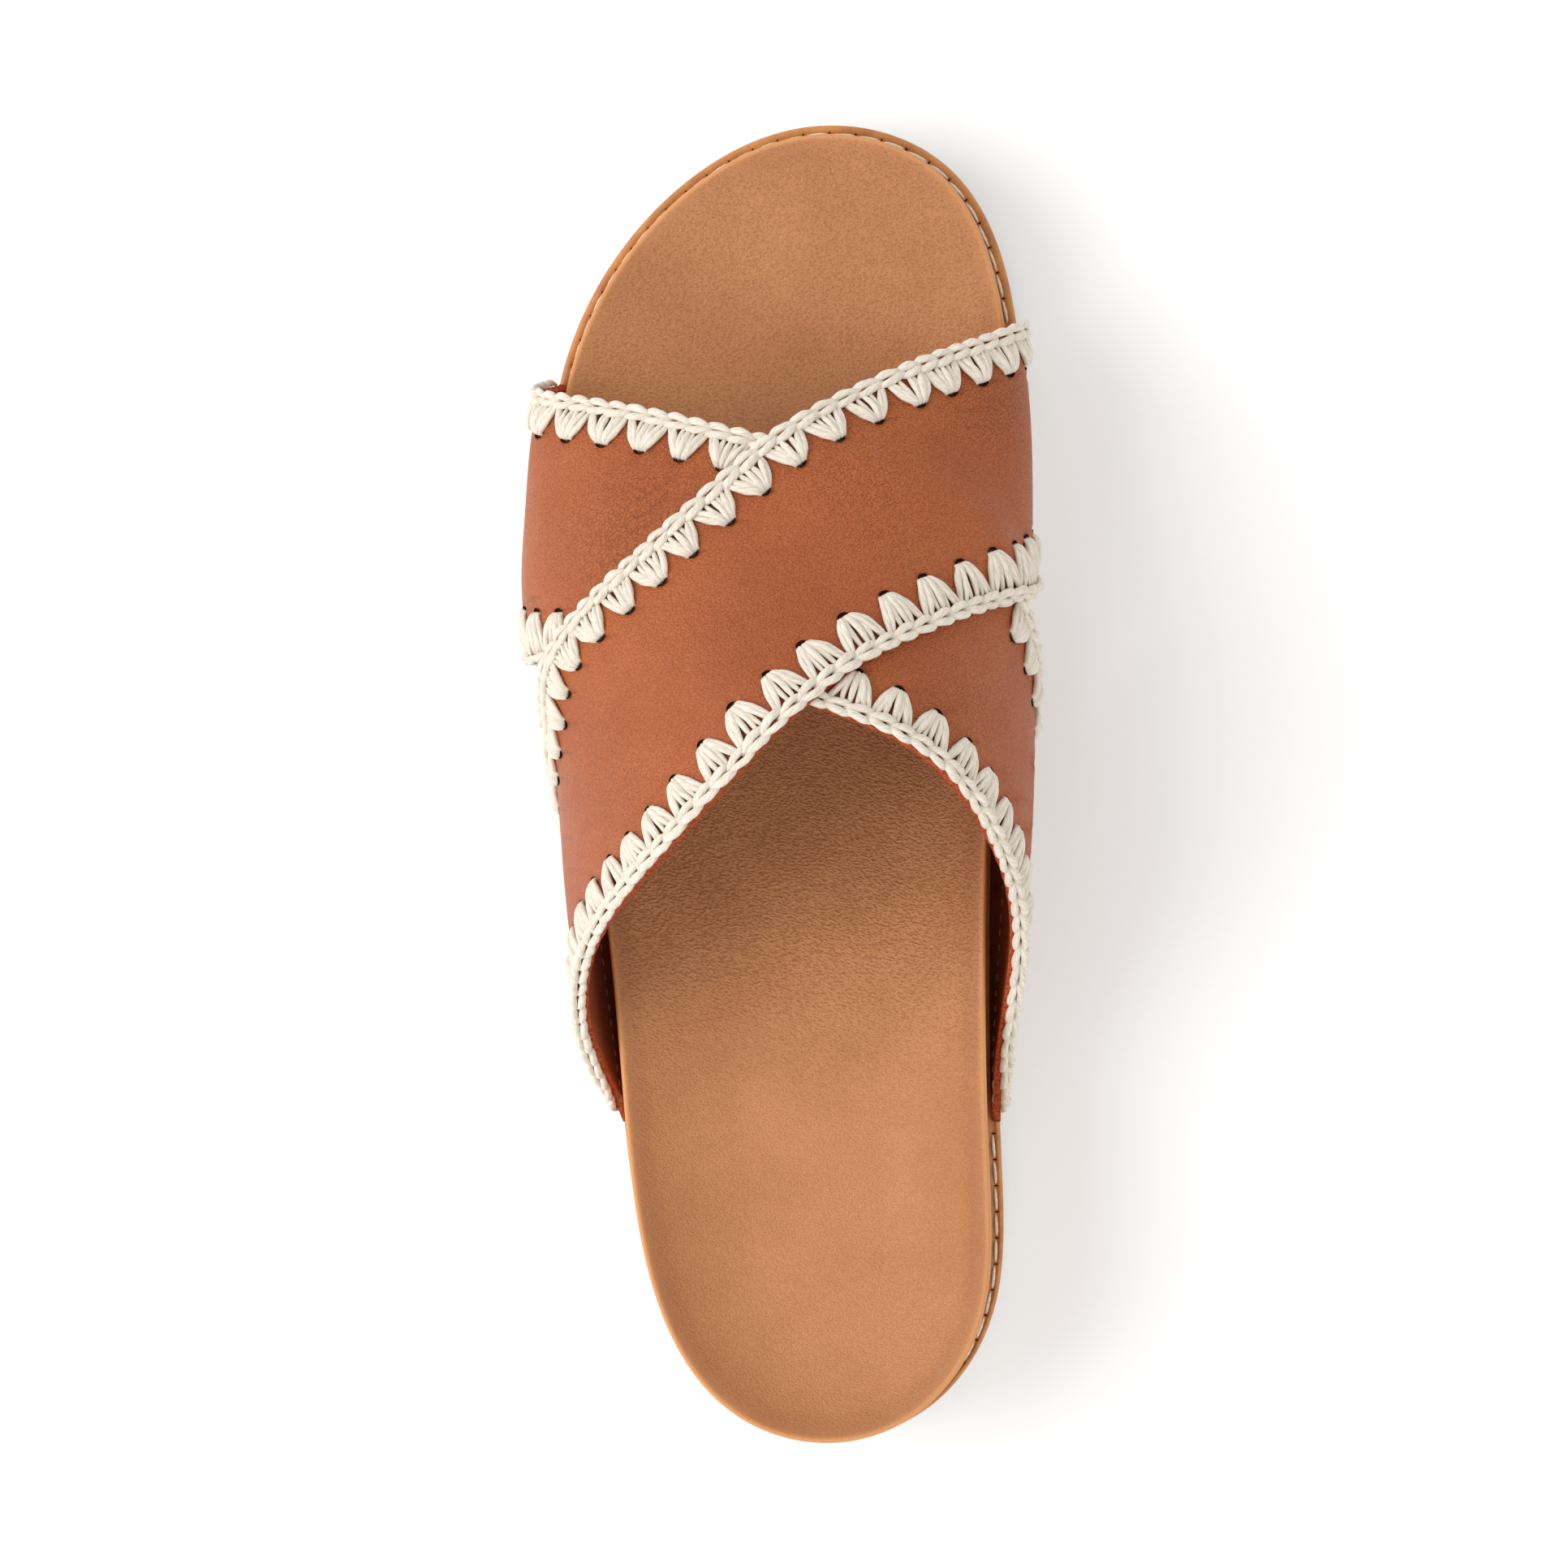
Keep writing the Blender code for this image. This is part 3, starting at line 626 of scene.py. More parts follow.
def catmull(controls, samples):
    """Smooth curves through control rows: (strands, controls, axes) to (strands, samples, axes)."""
    last = controls.shape[1] - 1
    t = np.linspace(0.0, last, samples)
    i = np.clip(np.floor(t).astype(int), 0, last - 1)
    f = (t - i)[None, :, None]
    p0 = controls[:, np.maximum(i - 1, 0)]
    p1 = controls[:, i]
    p2 = controls[:, i + 1]
    p3 = controls[:, np.minimum(i + 2, last)]
    linear = p2 - p0
    square = 2.0 * p0 - 5.0 * p1 + 4.0 * p2 - p3
    cube = 3.0 * p1 - p0 - 3.0 * p2 + p3
    return 0.5 * (2.0 * p1 + linear * f + square * f ** 2 + cube * f ** 3)


def tubes(centres, normals, radii, yarn, sink=0.0):
    """Strands of yarn swept along rows of centres, each with twisted plies round its section."""
    strands, samples = centres.shape[:2]
    sides = yarn.sides
    shape = (strands, samples, sides)
    tangent = unit(np.gradient(centres, axis=1))
    side = unit(np.cross(tangent, normals))
    up = np.cross(side, tangent)
    theta = FULL_TURN * np.arange(sides) / sides
    along = np.linspace(0.0, 1.0, samples)[None, :, None]
    start = rng.uniform(0.0, FULL_TURN, strands)[:, None, None]
    turned = theta - (start + FULL_TURN * yarn.twist * along)
    lobes = PLY_CORE + PLY_LOBE * np.abs(np.cos(0.5 * yarn.plies * turned))
    reach = np.broadcast_to(radii, shape[:2])[..., None] * lobes
    across = (reach * np.cos(theta))[..., None]
    height = (reach * np.sin(theta) * yarn.flat)[..., None]
    points = centres[:, :, None] + side[:, :, None] * across + up[:, :, None] * height
    ring_faces = loop_faces(samples, sides)
    caps = np.array([range(sides), range(samples * sides - 1, (samples - 1) * sides - 1, -1)])
    faces = []
    for k in range(strands):
        faces += (ring_faces + k * samples * sides).tolist()
        faces += (caps + k * samples * sides).tolist()
    values = {
        "around": turned / FULL_TURN,
        "along": along,
        "tone": rng.uniform(0.0, 1.0, strands)[:, None, None],
        "sink": np.asarray(sink)[..., None],
    }
    values = {key: np.broadcast_to(value, shape).ravel() for key, value in values.items()}
    return Skin(points.reshape(-1, 3), faces, values)


# Material helpers; a colour is three 8-bit screen values
def linear_colour(colour):
    shares = np.array(colour) / 255.0
    linear = np.where(shares <= 0.04045, shares / 12.92, ((shares + 0.055) / 1.055) ** 2.4)
    return (*linear.tolist(), 1.0)


def feed(node, inputs):
    """Links the inputs that are given as sockets, and sets the others."""
    for key, value in inputs.items():
        if isinstance(value, bpy.types.NodeSocket):
            node.id_data.links.new(value, node.inputs[key])
        else:
            node.inputs[key].default_value = value


def add(tree, kind, inputs=None, **settings):
    node = tree.nodes.new("ShaderNode" + kind)
    for name, value in settings.items():
        setattr(node, name, value)
    feed(node, inputs or {})
    return node


def new_material(name):
    material = bpy.data.materials.new(name)
    material.use_nodes = True
    return material, material.node_tree


def finish(material, tone, roughness, specular=0.5, relief=None, others=None):
    """Gives a material's shader its colour, gloss and relief."""
    inputs = {"Base Color": tone, "Roughness": roughness, "Specular IOR Level": specular}
    if relief is not None:
        inputs["Normal"] = relief
    feed(material.node_tree.nodes["Principled BSDF"], {**inputs, **(others or {})})
    return material


def coords(tree):
    return add(tree, "TexCoord").outputs["Object"]


def axis(tree, name):
    return add(tree, "SeparateXYZ", {0: coords(tree)}).outputs[name]


def stretched(tree, scale, turn=0.0):
    """Object coordinates turned in plan and then stretched."""
    turned = add(tree, "Mapping", {"Vector": coords(tree), "Rotation": (0.0, 0.0, turn)})
    return add(tree, "Mapping", {"Vector": turned.outputs["Vector"], "Scale": scale}).outputs["Vector"]


def shaken(vector, drift):
    return add(vector.id_data, "VectorMath", {0: vector, 1: drift}, operation="ADD").outputs[0]


def noise(tree, scale, detail, roughness, distortion=0.0, vector=None):
    node = add(tree, "TexNoise", {
        "Vector": coords(tree) if vector is None else vector, "Scale": scale, "Detail": detail,
        "Roughness": roughness, "Distortion": distortion,
    })
    return node.outputs["Fac"]


def cells(vector, scale, feature="F1", **inputs):
    node = add(vector.id_data, "TexVoronoi", {"Vector": vector, "Scale": scale, **inputs}, feature=feature)
    return node.outputs["Distance"]


def ramp(value, low, high, to_low=0.0, to_high=1.0):
    node = add(value.id_data, "MapRange", {
        "Value": value, "From Min": low, "From Max": high, "To Min": to_low, "To Max": to_high,
    }, interpolation_type="SMOOTHSTEP")
    return node.outputs["Result"]


def multiply(first, second):
    return add(first.id_data, "Math", {0: first, 1: second}, operation="MULTIPLY").outputs[0]


def mix(factor, first, second):
    first, second = (linear_colour(x) if isinstance(x, tuple) else x for x in (first, second))
    return add(factor.id_data, "Mix", {0: factor, 6: first, 7: second}, data_type="RGBA").outputs[2]


def tint(tone, colour, value, low, high, to_low=0.0, to_high=1.0):
    """Turns a tone towards a colour as a value goes from low to high."""
    return mix(ramp(value, low, high, to_low, to_high), tone, colour)


def bump(height, strength, distance, normal=None):
    inputs = {"Height": height, "Strength": strength, "Distance": distance}
    if normal is not None:
        inputs["Normal"] = normal
    return add(height.id_data, "Bump", inputs).outputs["Normal"]


def point_value(tree, name):
    return add(tree, "Attribute", attribute_name=name).outputs["Fac"]


# Materials
def footbed_material():
    """Tan leather with a fine embossed grain, a burnished rim with a painted highlight, and painted shade in
    the grain, in patches and in a line inside the rim.
    """
    material, tree = new_material("footbed_tan_leather")
    grain = noise(tree, 1.0, 1.0, 0.45, 0.4, stretched(tree, (2300.0, 3300.0, 2300.0), 0.25))
    ridges = noise(tree, 1.0, 1.0, 0.45, 0.3, stretched(tree, (1350.0, 2250.0, 1350.0), 0.25))
    fine = noise(tree, 2900.0, 2.0, 0.6)
    mottle = noise(tree, 34.0, 4.0, 0.6)
    inset = point_value(tree, "inset")
    along = axis(tree, "Y")
    waist = multiply(ramp(along, -0.085, -0.02), ramp(along, 0.03, 0.09, 1.0, 0.6))
    worms = ramp(mix(waist, grain, ridges), 0.2, 0.8)
    worn = ramp(waist, 0.0, 1.0, 0.55, 1.0)
    tone = tint((181, 120, 75), (193, 132, 84), mottle, 0.3, 0.7)
    # Painted shade in the listed patches on the footbed
    tone = mix(point_value(tree, "stain"), tone, (126, 76, 42))
    # Painted shade in the valleys of the grain, stronger at the waist
    valley = multiply(ramp(worms, 0.15, 0.55, 0.34, 0.0), worn)
    tone = mix(valley, tone, (112, 64, 36))
    # Painted shade in a band just inside the rim, where it falls into the dish; weaker at the toe
    before_toe = ramp(along, 0.03, 0.10, 1.0, 0.4)
    inner = multiply(ramp(inset, 0.9, 1.8), before_toe)
    outer = ramp(inset, 2.2, 6.5, 0.30, 0.0)
    tone = mix(multiply(inner, outer), tone, (140, 88, 52))
    # Paler line along the rounded rim: its lighter burnished colour and a painted highlight
    tone = tint(tone, (218, 152, 94), inset, 0.35, 1.4, 0.7, 0.0)
    speckle = cells(coords(tree), 120.0)
    tone = tint(tone, (232, 200, 160), speckle, 0.012, 0.024, 0.35, 0.0)
    rim = ramp(inset, 1.0, 4.0, 0.2, 1.0)
    relief = bump(worms, multiply(rim, worn), 0.00025)
    relief = bump(fine, 0.25, 0.00012, relief)
    return finish(material, tone, ramp(worms, 0.0, 1.0, 0.62, 0.50), 0.34, relief)


def strap_material():
    """Cognac leather: fine pebbled grain, soft wrinkles, satin finish, painted shade in the grain's valleys,
    creases and patches, and painted shade round the holes.
    """
    material, tree = new_material("strap_cognac_leather")
    drift = noise(tree, 1200.0, 1.0, 0.5)
    stones = shaken(stretched(tree, (2000.0, 3000.0, 2400.0), -0.3), drift)
    pebble = ramp(cells(stones, 1.0, "SMOOTH_F1", Smoothness=0.35), 0.15, 0.85, 1.0, 0.0)
    pores = noise(tree, 3000.0, 2.0, 0.6)
    sway = noise(tree, 420.0, 2.0, 0.5)
    folds = shaken(stretched(tree, (760.0, 1500.0, 760.0), -0.65), sway)
    wrinkle = ramp(cells(folds, 1.0, "DISTANCE_TO_EDGE"), 0.0, 0.20)
    worn = point_value(tree, "worn")
    mottle = noise(tree, 30.0, 4.0, 0.6)
    patch = noise(tree, 16.0, 2.0, 0.5)
    tone = tint((172, 92, 51), (187, 104, 59), mottle, 0.3, 0.72)
    # Painted shade in the listed patches on the straps
    tone = mix(point_value(tree, "stain"), tone, (128, 64, 34))
    # Painted shade in the valleys of the pebbled grain
    tone = tint(tone, (92, 40, 20), pebble, 0.0, 0.7, 0.30, 0.0)
    fold_shade = multiply(ramp(wrinkle, 0.0, 0.9, 0.44, 0.0), worn)
    tone = mix(fold_shade, tone, (88, 38, 20))
    # Painted shade in the troughs of the pressed creases
    tone = tint(tone, (84, 36, 20), point_value(tree, "crease"), 0.1, 1.0, 0.0, 0.42)
    # Painted shade round the punched holes
    tone = tint(tone, (44, 20, 12), point_value(tree, "hole"), 0.35, 0.95, 0.0, 0.85)
    relief = bump(pebble, ramp(patch, 0.35, 0.65, 0.75, 1.0), 0.00021)
    relief = bump(wrinkle, worn, 0.00014, relief)
    relief = bump(pores, 0.16, 0.00010, relief)
    coat = {"Coat Weight": 0.02, "Coat Roughness": 0.36}
    return finish(material, tone, ramp(mottle, 0.3, 0.7, 0.48, 0.38), 0.20, relief, coat)


def cut_edge_material():
    """Raw cut edge of the straps: rust-red fibres."""
    material, tree = new_material("strap_cut_edge")
    fibre = noise(tree, 1500.0, 4.0, 0.7)
    tone = tint((120, 48, 24), (192, 90, 50), fibre, 0.32, 0.68)
    return finish(material, tone, 0.85, 0.15, bump(fibre, 0.8, 0.0003))


def lining_material():
    """Smooth red-brown lining of the straps."""
    material, tree = new_material("strap_lining_leather")
    mottle = noise(tree, 60.0, 4.0, 0.6)
    pores = noise(tree, 1800.0, 3.0, 0.6)
    tone = tint((150, 74, 42), (172, 92, 56), mottle, 0.3, 0.7)
    return finish(material, tone, 0.55, relief=bump(pores, 0.18, 0.00012))


def welt_material():
    """Smooth saddle-tan leather with faint scuffs."""
    material, tree = new_material("welt_saddle_leather")
    grain = noise(tree, 1400.0, 3.0, 0.6)
    mottle = noise(tree, 160.0, 4.0, 0.65)
    scuff = noise(tree, 1.0, 3.0, 0.6, 0.6, stretched(tree, (900.0, 160.0, 400.0)))
    tone = tint((176, 112, 58), (202, 138, 76), mottle, 0.32, 0.68)
    tone = tint(tone, (222, 172, 118), scuff, 0.64, 0.74, 0.0, 0.10)
    roughness = ramp(mottle, 0.3, 0.7, 0.44, 0.56)
    return finish(material, tone, roughness, relief=bump(grain, 0.22, 0.00012))


def sole_material():
    """Pale moulded rubber with a faint mould grain, darker towards its bottom edge."""
    material, tree = new_material("sole_pale_rubber")
    grain = noise(tree, 1600.0, 3.0, 0.6)
    mottle = noise(tree, 70.0, 4.0, 0.6)
    tone = tint((214, 207, 194), (226, 220, 208), mottle, 0.3, 0.7)
    tone = tint(tone, (168, 160, 148), axis(tree, "Z"), 0.0005, 0.006, 0.35, 0.0)
    return finish(material, tone, 0.68, relief=bump(grain, 0.25, 0.00015))


def yarn_material(name, light, shade, deep):
    """Cotton yarn: fine filaments along each strand, with painted shade where it dives into its hole."""
    material, tree = new_material(name)
    strand = point_value(tree, "tone")
    drawn = multiply(point_value(tree, "along"), 0.22)
    thread = add(tree, "CombineXYZ", {0: point_value(tree, "around"), 1: drawn, 2: strand})
    fibre = noise(tree, 22.0, 3.0, 0.6, vector=thread.outputs["Vector"])
    fuzz = noise(tree, 3800.0, 2.0, 0.6)
    tone = tint(shade, light, fibre, 0.30, 0.62)
    tone = tint(tone, shade, strand, 0.0, 1.0, 0.0, 0.16)
    # Painted shade where the strand dives into its hole
    tone = tint(tone, deep, point_value(tree, "sink"), 0.45, 1.0, 0.0, 0.92)
    relief = bump(fuzz, 0.15, 0.00010, bump(fibre, 0.55, 0.00022))
    return finish(material, tone, 0.62, 0.28, relief, {"Sheen Weight": 0.15})


def hole_material(name, deep, pale):
    """Dull dark painted shade inside a hole or a needle slit."""
    material, tree = new_material(name)
    return finish(material, mix(noise(tree, 900.0, 3.0, 0.6), deep, pale), 0.95, 0.05)


def floor_material():
    material, tree = new_material("studio_floor")
    tone = mix(noise(tree, 3.0, 2.0, 0.5), (239, 239, 239), (241, 241, 241))
    return finish(material, tone, 0.9, 0.1, others={"Emission Color": WHITE, "Emission Strength": FLOOR_GLOW})


# Sole layers
RING_COUNT = 2 * OUTLINE_ROWS
RING_TURN = math.pi * np.arange(RING_COUNT) / OUTLINE_ROWS
RING_LATERAL = np.arange(RING_COUNT) <= OUTLINE_ROWS
RING_Y = y_at(RING_TURN)


def ring(margin, level, rise=0.0):
    """Closed ring round the outline at a margin; its height is a function of y and a rise."""
    plan = outline_at(RING_TURN, margin)
    return np.column_stack([plan, level(plan[:, 1]) + rise])


def cap_rows(edge, columns, start, base, height):
    """Rows that close a ring from the lateral to the medial side: new points and faces."""
    points = []
    caps = [[start] * (columns + 2)]
    shares = np.arange(1, columns + 1)[:, None] / (columns + 1.0)
    for i in range(1, OUTLINE_ROWS):
        inner = edge[i] + (edge[RING_COUNT - i] - edge[i]) * shares
        if columns:
            inner[:, 2] = height(inner[:, 0], inner[:, 1])
        first = base + len(points)
        points += inner.tolist()
        caps.append([start + i, *range(first, first + columns), start + RING_COUNT - i])
    caps.append([start + OUTLINE_ROWS] * (columns + 2))
    faces = []
    for low, high in zip(caps, caps[1:]):
        quads = zip(low, low[1:], high[1:], high)
        faces += [list(dict.fromkeys(quad)) for quad in quads]
    return points, faces


def layer(rings, columns=0, height=None):
    """Closed skin through rings from the bottom up, capped at both ends."""
    points = np.concatenate(rings)
    faces = loop_faces(len(rings), RING_COUNT).tolist()
    bottom = cap_rows(rings[0], 0, 0, len(points), None)[1]
    faces += [face[::-1] for face in bottom]
    extra, top = cap_rows(rings[-1], columns, len(points) - RING_COUNT, len(points), height)
    if extra:
        points = np.concatenate([points, extra])
    return Skin(points, faces + top, {})


def build_outsole():
    margin = sole_margin(RING_Y)
    rings = []
    for inward, up in ((TREAD_CHAMFER, 0.0), (0.5, 0.5), (0.0, TREAD_CHAMFER)):
        rings.append(ring(margin - inward, tread, up))
    for inward, down in ((0.0, 4.0), (0.0, 0.9), (0.18, 0.3), (0.7, 0.0), (4.0, 0.0)):
        rings.append(ring(margin - inward, sole_top, -down))
    make_piece("outsole_rubber", layer(rings), [sole_material()], ["outsole"])


def build_welt():
    """Welt with a rounded edge and a shallow channel for the stitches."""
    edge = ledge(RING_Y)
    rings = [ring(edge, welt_bottom)]
    for inward, down in ((0.0, 0.7), (0.12, 0.35), (0.4, 0.08), (0.8, 0.0)):
        rings.append(ring(edge - inward, welt_top, -down))
    for out, down in ((0.62, 0.05), (0.3, 0.24), (0.0, 0.30), (-0.3, 0.24), (-0.65, 0.05), (-3.0, 0.0)):
        limit = edge - 0.8 - 0.02 * (1.0 - out)
        rings.append(ring(np.minimum(STITCH_MARGIN + out, limit), welt_top, -down))
    make_piece("welt_leather", layer(rings), [welt_material()], ["welt"])


def dent(x, y):
    """Rise or fall that toes and heel have pressed into the dish."""
    return sum(
        hollow.rise * bell((x - hollow.x) / hollow.radius_x) * bell((y - hollow.y) / hollow.radius_y)
        for hollow in HOLLOWS
    )


def dish_height(x, y):
    return dish_floor(y) + dent(x, y)


def build_footbed():
    rings = []
    for row in BED_RINGS:
        loop = ring(-row.inset, lambda y: bed_height(y, RING_LATERAL, row.share, row.drop))
        loop[:, 2] += dent(loop[:, 0], loop[:, 1]) * (1.0 - row.share)
        rings.append(loop)
    skin = layer(rings, BED_COLUMNS, dish_height)
    x, y, _ = skin.points.T
    inset = np.full(len(x), BED_RINGS[-1].inset)
    inset[:len(rings) * RING_COUNT] = np.repeat([row.inset for row in BED_RINGS], RING_COUNT)
    inset[:WALL_RINGS * RING_COUNT] = 0.0
    # Painted shade, strongest in the middle of each patch
    stain = np.zeros(len(x))
    for patch in BED_SHADE_PATCHES:
        stain += patch.stain * bell(np.hypot((x - patch.x) / patch.wide, (y - patch.y) / patch.long))
    skin = skin._replace(values={"inset": inset, "stain": stain})
    make_piece("footbed_leather", skin, [footbed_material()], ["footbed"])


def seam_stations(margin, pitch):
    """Evenly spaced turns round the outline at a margin, and the count."""
    turn = np.linspace(0.0, FULL_TURN, 4001)
    length = path_lengths(outline_at(turn, margin))
    count = int(round(length[-1] / pitch))
    return lambda stitch: np.interp((stitch / count % 1.0) * length[-1], length, turn), count


def under_strap_foot(turn):
    """Whether a strap stands on the welt here, which hides the stitches."""
    y = y_at(turn)
    girth = 0.0 if turn <= math.pi else 1.0
    return any(strap.rear(girth) - 1.0 < y < strap.front(girth) + 1.0 for strap in STRAPS)


def on_welt(turn, margin, rise):
    plan = outline_at(turn, margin)
    return np.column_stack([plan, welt_top(plan[:, 1]) + rise])


def build_welt_stitches():
    """White lockstitch beside the footbed, and dark marks of painted shade for the needle slits between its
    stitches.
    """
    station, count = seam_stations(STITCH_MARGIN, STITCH_PITCH)
    run = np.linspace(0.04, 0.96, len(STITCH_BOW))
    slit_margin = STITCH_MARGIN + NEEDLE_SHIFT + NEEDLE_HALF * np.linspace(-1.0, 1.0, len(NEEDLE_SWELL))
    stitches = []
    slits = []
    for k in range(count):
        if under_strap_foot(station(k + 0.5)):
            continue
        sway = 0.10 * np.sin(math.pi * run) * rng.uniform(-1.0, 1.0)
        margin = STITCH_MARGIN + sway + STITCH_SLANT * (run - 0.5)
        stitches.append(on_welt(station(k + run), margin, STITCH_BOW))
        slits.append(on_welt(np.full(slit_margin.shape, station(k)), slit_margin, 0.02))
    centres = catmull(np.array(stitches), STITCH_SAMPLES)
    radii = catmull(STITCH_RADIUS * STITCH_SWELL[None, :, None], STITCH_SAMPLES)[..., 0]
    # Painted shade at both ends of each stitch, where it goes into the welt
    fade = 0.9 * bell((np.abs(np.linspace(-1.0, 1.0, STITCH_SAMPLES)) - 1.0) / 0.08)
    thread = yarn_material("welt_thread", (240, 232, 216), (206, 192, 170), (60, 40, 28))
    make_piece("welt_stitches", tubes(centres, UP, radii, WELT_THREAD, fade), [thread])
    # Painted shade in the needle slits
    dark = hole_material("needle_slit", (48, 26, 15), (78, 44, 25))
    make_piece("welt_needle_slits", tubes(np.array(slits), UP, NEEDLE_SWELL, NEEDLE_SLIT), [dark])


# Upper and its crochet
def steps_along(direction, girth, y):
    """Changes of girth and y that move a point of the lining along a direction."""
    along_girth, along_y, _ = lining_frame(girth, y)
    gg = np.sum(along_girth * along_girth, -1)
    gy = np.sum(along_girth * along_y, -1)
    yy = np.sum(along_y * along_y, -1)
    dg = np.sum(direction * along_girth, -1)
    dy = np.sum(direction * along_y, -1)
    scale = gg * yy - gy * gy
    return (dg * yy - dy * gy) / scale, (dy * gg - dg * gy) / scale


class EdgePath:
    """Places along one strap edge: distance along it, depth into the strap, height off the leather."""

    def __init__(self, edging):
        self.edging = edging
        self.at_rear = edging.inward > 0
        self.chain = REAR_CHAIN if self.at_rear else FRONT_CHAIN
        self.lift = over_lift if edging.over else no_lift
        self.girth = np.linspace(edging.first, edging.last, EDGE_SAMPLES)
        y = edging.edge(self.girth)
        rim = upper_point(self.girth, y, STRAP_THICKNESS + self.lift(self.girth, y))[0]
        self.length = path_lengths(rim)
        along_girth, along_y, normal = lining_frame(self.girth, y)
        ahead = edging.edge(self.girth + GIRTH_STEP)
        slope = (ahead - edging.edge(self.girth - GIRTH_STEP)) / (2.0 * GIRTH_STEP)
        tangent = unit(along_girth + along_y * slope[:, None])
        across = np.cross(normal, tangent)
        facing = np.sign(np.sum(across * along_y, -1) * edging.inward)
        upright = smoothstep((STEEP_START - normal[:, 2]) / STEEP_RANGE)
        self.steep = self.at_rear * upright * smoothstep((rim[:, 2] - STEEP_FOOT) / STEEP_FADE)
        near = np.abs(self.length[:, None] - self.length) < ACROSS_REACH
        self.across = unit(near @ (across * facing[:, None]))

    def place(self, run, depth, height):
        """Points and normals found by a walk over the leather from the edge inwards."""
        girth = np.interp(run, self.length, self.girth)
        y = self.edging.edge(girth)
        across = np.stack([np.interp(girth, self.girth, part) for part in self.across.T], -1)
        for _ in range(WALK_STEPS):
            girth_step, y_step = steps_along(across, girth, y)
            girth = np.clip(girth + girth_step * depth / WALK_STEPS, 0.001, 0.999)
            y = y + y_step * depth / WALK_STEPS
        return upper_point(girth, y, STRAP_THICKNESS + self.lift(girth, y) + height)

    def fan_places(self):
        """Places of the fans along the edge, and the limits between them."""
        fans, anchors = np.array(FAN_ANCHORS[self.edging.node]).T
        places = np.interp(np.arange(fans[-1] + 1), fans, anchors)
        between = 0.5 * (places[1:] + places[:-1])
        first = max(places[0] - 0.5 * FAN_PITCH, EDGING_END)
        last = min(places[-1] + 0.5 * FAN_PITCH, self.length[-1] - EDGING_END)
        return places, np.concatenate([[first], between, [last]])

    def chain_depth(self, run):
        """Depth of the chain's middle: it rides over a rear edge where the strap stands steep."""
        return self.chain + (REAR_CHAIN_STEEP - self.chain) * np.interp(run, self.length, self.steep)

    def lean_chain(self, run, spread, rise):
        """Depth and height of chain points that lean over a rear edge where the strap stands steep."""
        steep = np.interp(run, self.length, self.steep)
        lean = self.at_rear * (REAR_LEAN + (REAR_LEAN_STEEP - REAR_LEAN) * steep)
        over = rise - LINK_RISE
        depth = self.chain_depth(run) + spread * np.cos(lean) - over * np.sin(lean)
        return depth, LINK_RISE * (1.0 - 0.5 * steep) + spread * np.sin(lean) + over * np.cos(lean)

    def hole_depth(self):
        return REAR_HOLE if self.at_rear else FRONT_HOLE

    def holes(self):
        return self.place(self.fan_places()[0], self.hole_depth() + 0.2, 0.0)[0]

    def strands(self, controls, radii, samples, yarn, sink=0.0):
        """Yarn through rows of control places, with its thickness at each."""
        run, depth, height = np.moveaxis(catmull(np.array(controls), samples), -1, 0)
        radii = catmull(np.array(radii)[..., None], samples)[..., 0]
        return tubes(*self.place(run, depth, height), radii, yarn, sink)


def crossing(edge_a, edge_b, low, high):
    """Girth between low and high where two strap edges cross."""
    girth = np.linspace(low, high, 2001)
    gap = edge_a(girth) - edge_b(girth)
    return float(girth[np.argmax(np.sign(gap) != np.sign(gap[0]))])


def all_edgings():
    reach = UNDERLAP / STRAP_GIRTH
    front_cross = crossing(over_front, under_front, 0.2, 0.8)
    lateral_cross = crossing(over_front, under_rear, 0.0, 0.5)
    rear_cross = crossing(over_rear, under_rear, 0.2, 0.8)
    medial_cross = crossing(over_rear, under_front, 0.5, 1.0)
    return [
        Edging("crochet_over_front", over_front, -1, True, 0.0, 1.0),
        Edging("crochet_over_rear", over_rear, 1, True, 0.0, 1.0),
        Edging("crochet_under_front_lateral", under_front, -1, False, 0.0, front_cross + reach),
        Edging("crochet_under_front_medial", under_front, -1, False, medial_cross - reach, 1.0),
        Edging("crochet_under_rear_lateral", under_rear, 1, False, 0.0, lateral_cross + reach),
        Edging("crochet_under_rear_medial", under_rear, 1, False, rear_cross - reach, 1.0),
    ]


def fan_tubes(path):
    """Leg strands of every fan, from under the chain down into the punched hole."""
    places, limits = path.fan_places()
    tip = path.hole_depth()
    controls = []
    radii = []
    for middle, low, high in zip(places, limits, limits[1:]):
        root = path.chain_depth(middle) + 0.7
        for strand in FAN:
            slack = FAN_SLACK * rng.normal(0.0, 1.0, len(FAN_SLACK))
            room = middle - low if strand.chain < 0.0 else high - middle
            chain = strand.chain * room / (0.5 * FAN_PITCH) + slack[0]
            hole = strand.hole + slack[1]
            bow = FAN_BOW * (strand.bow + slack[2])
            rise = strand.rise + slack[3]
            run = middle + chain + (hole - chain) * np.minimum(FAN_WAY ** 0.92, 1.0) + bow
            depth = root + (tip - root) * FAN_WAY
            height = np.array([0.45, 0.85 * rise, rise, 0.55 * rise, -0.65])
            controls.append(np.column_stack([run, depth, height]))
            radii.append(strand.radius * (0.94 + slack[4]) * FAN_SWELL)
    # Painted shade towards the hole end of each strand
    sink = smoothstep((np.linspace(0.0, 1.0, FAN_SAMPLES) - 0.74) / 0.24)
    return path.strands(controls, radii, FAN_SAMPLES, FAN_YARN, sink)


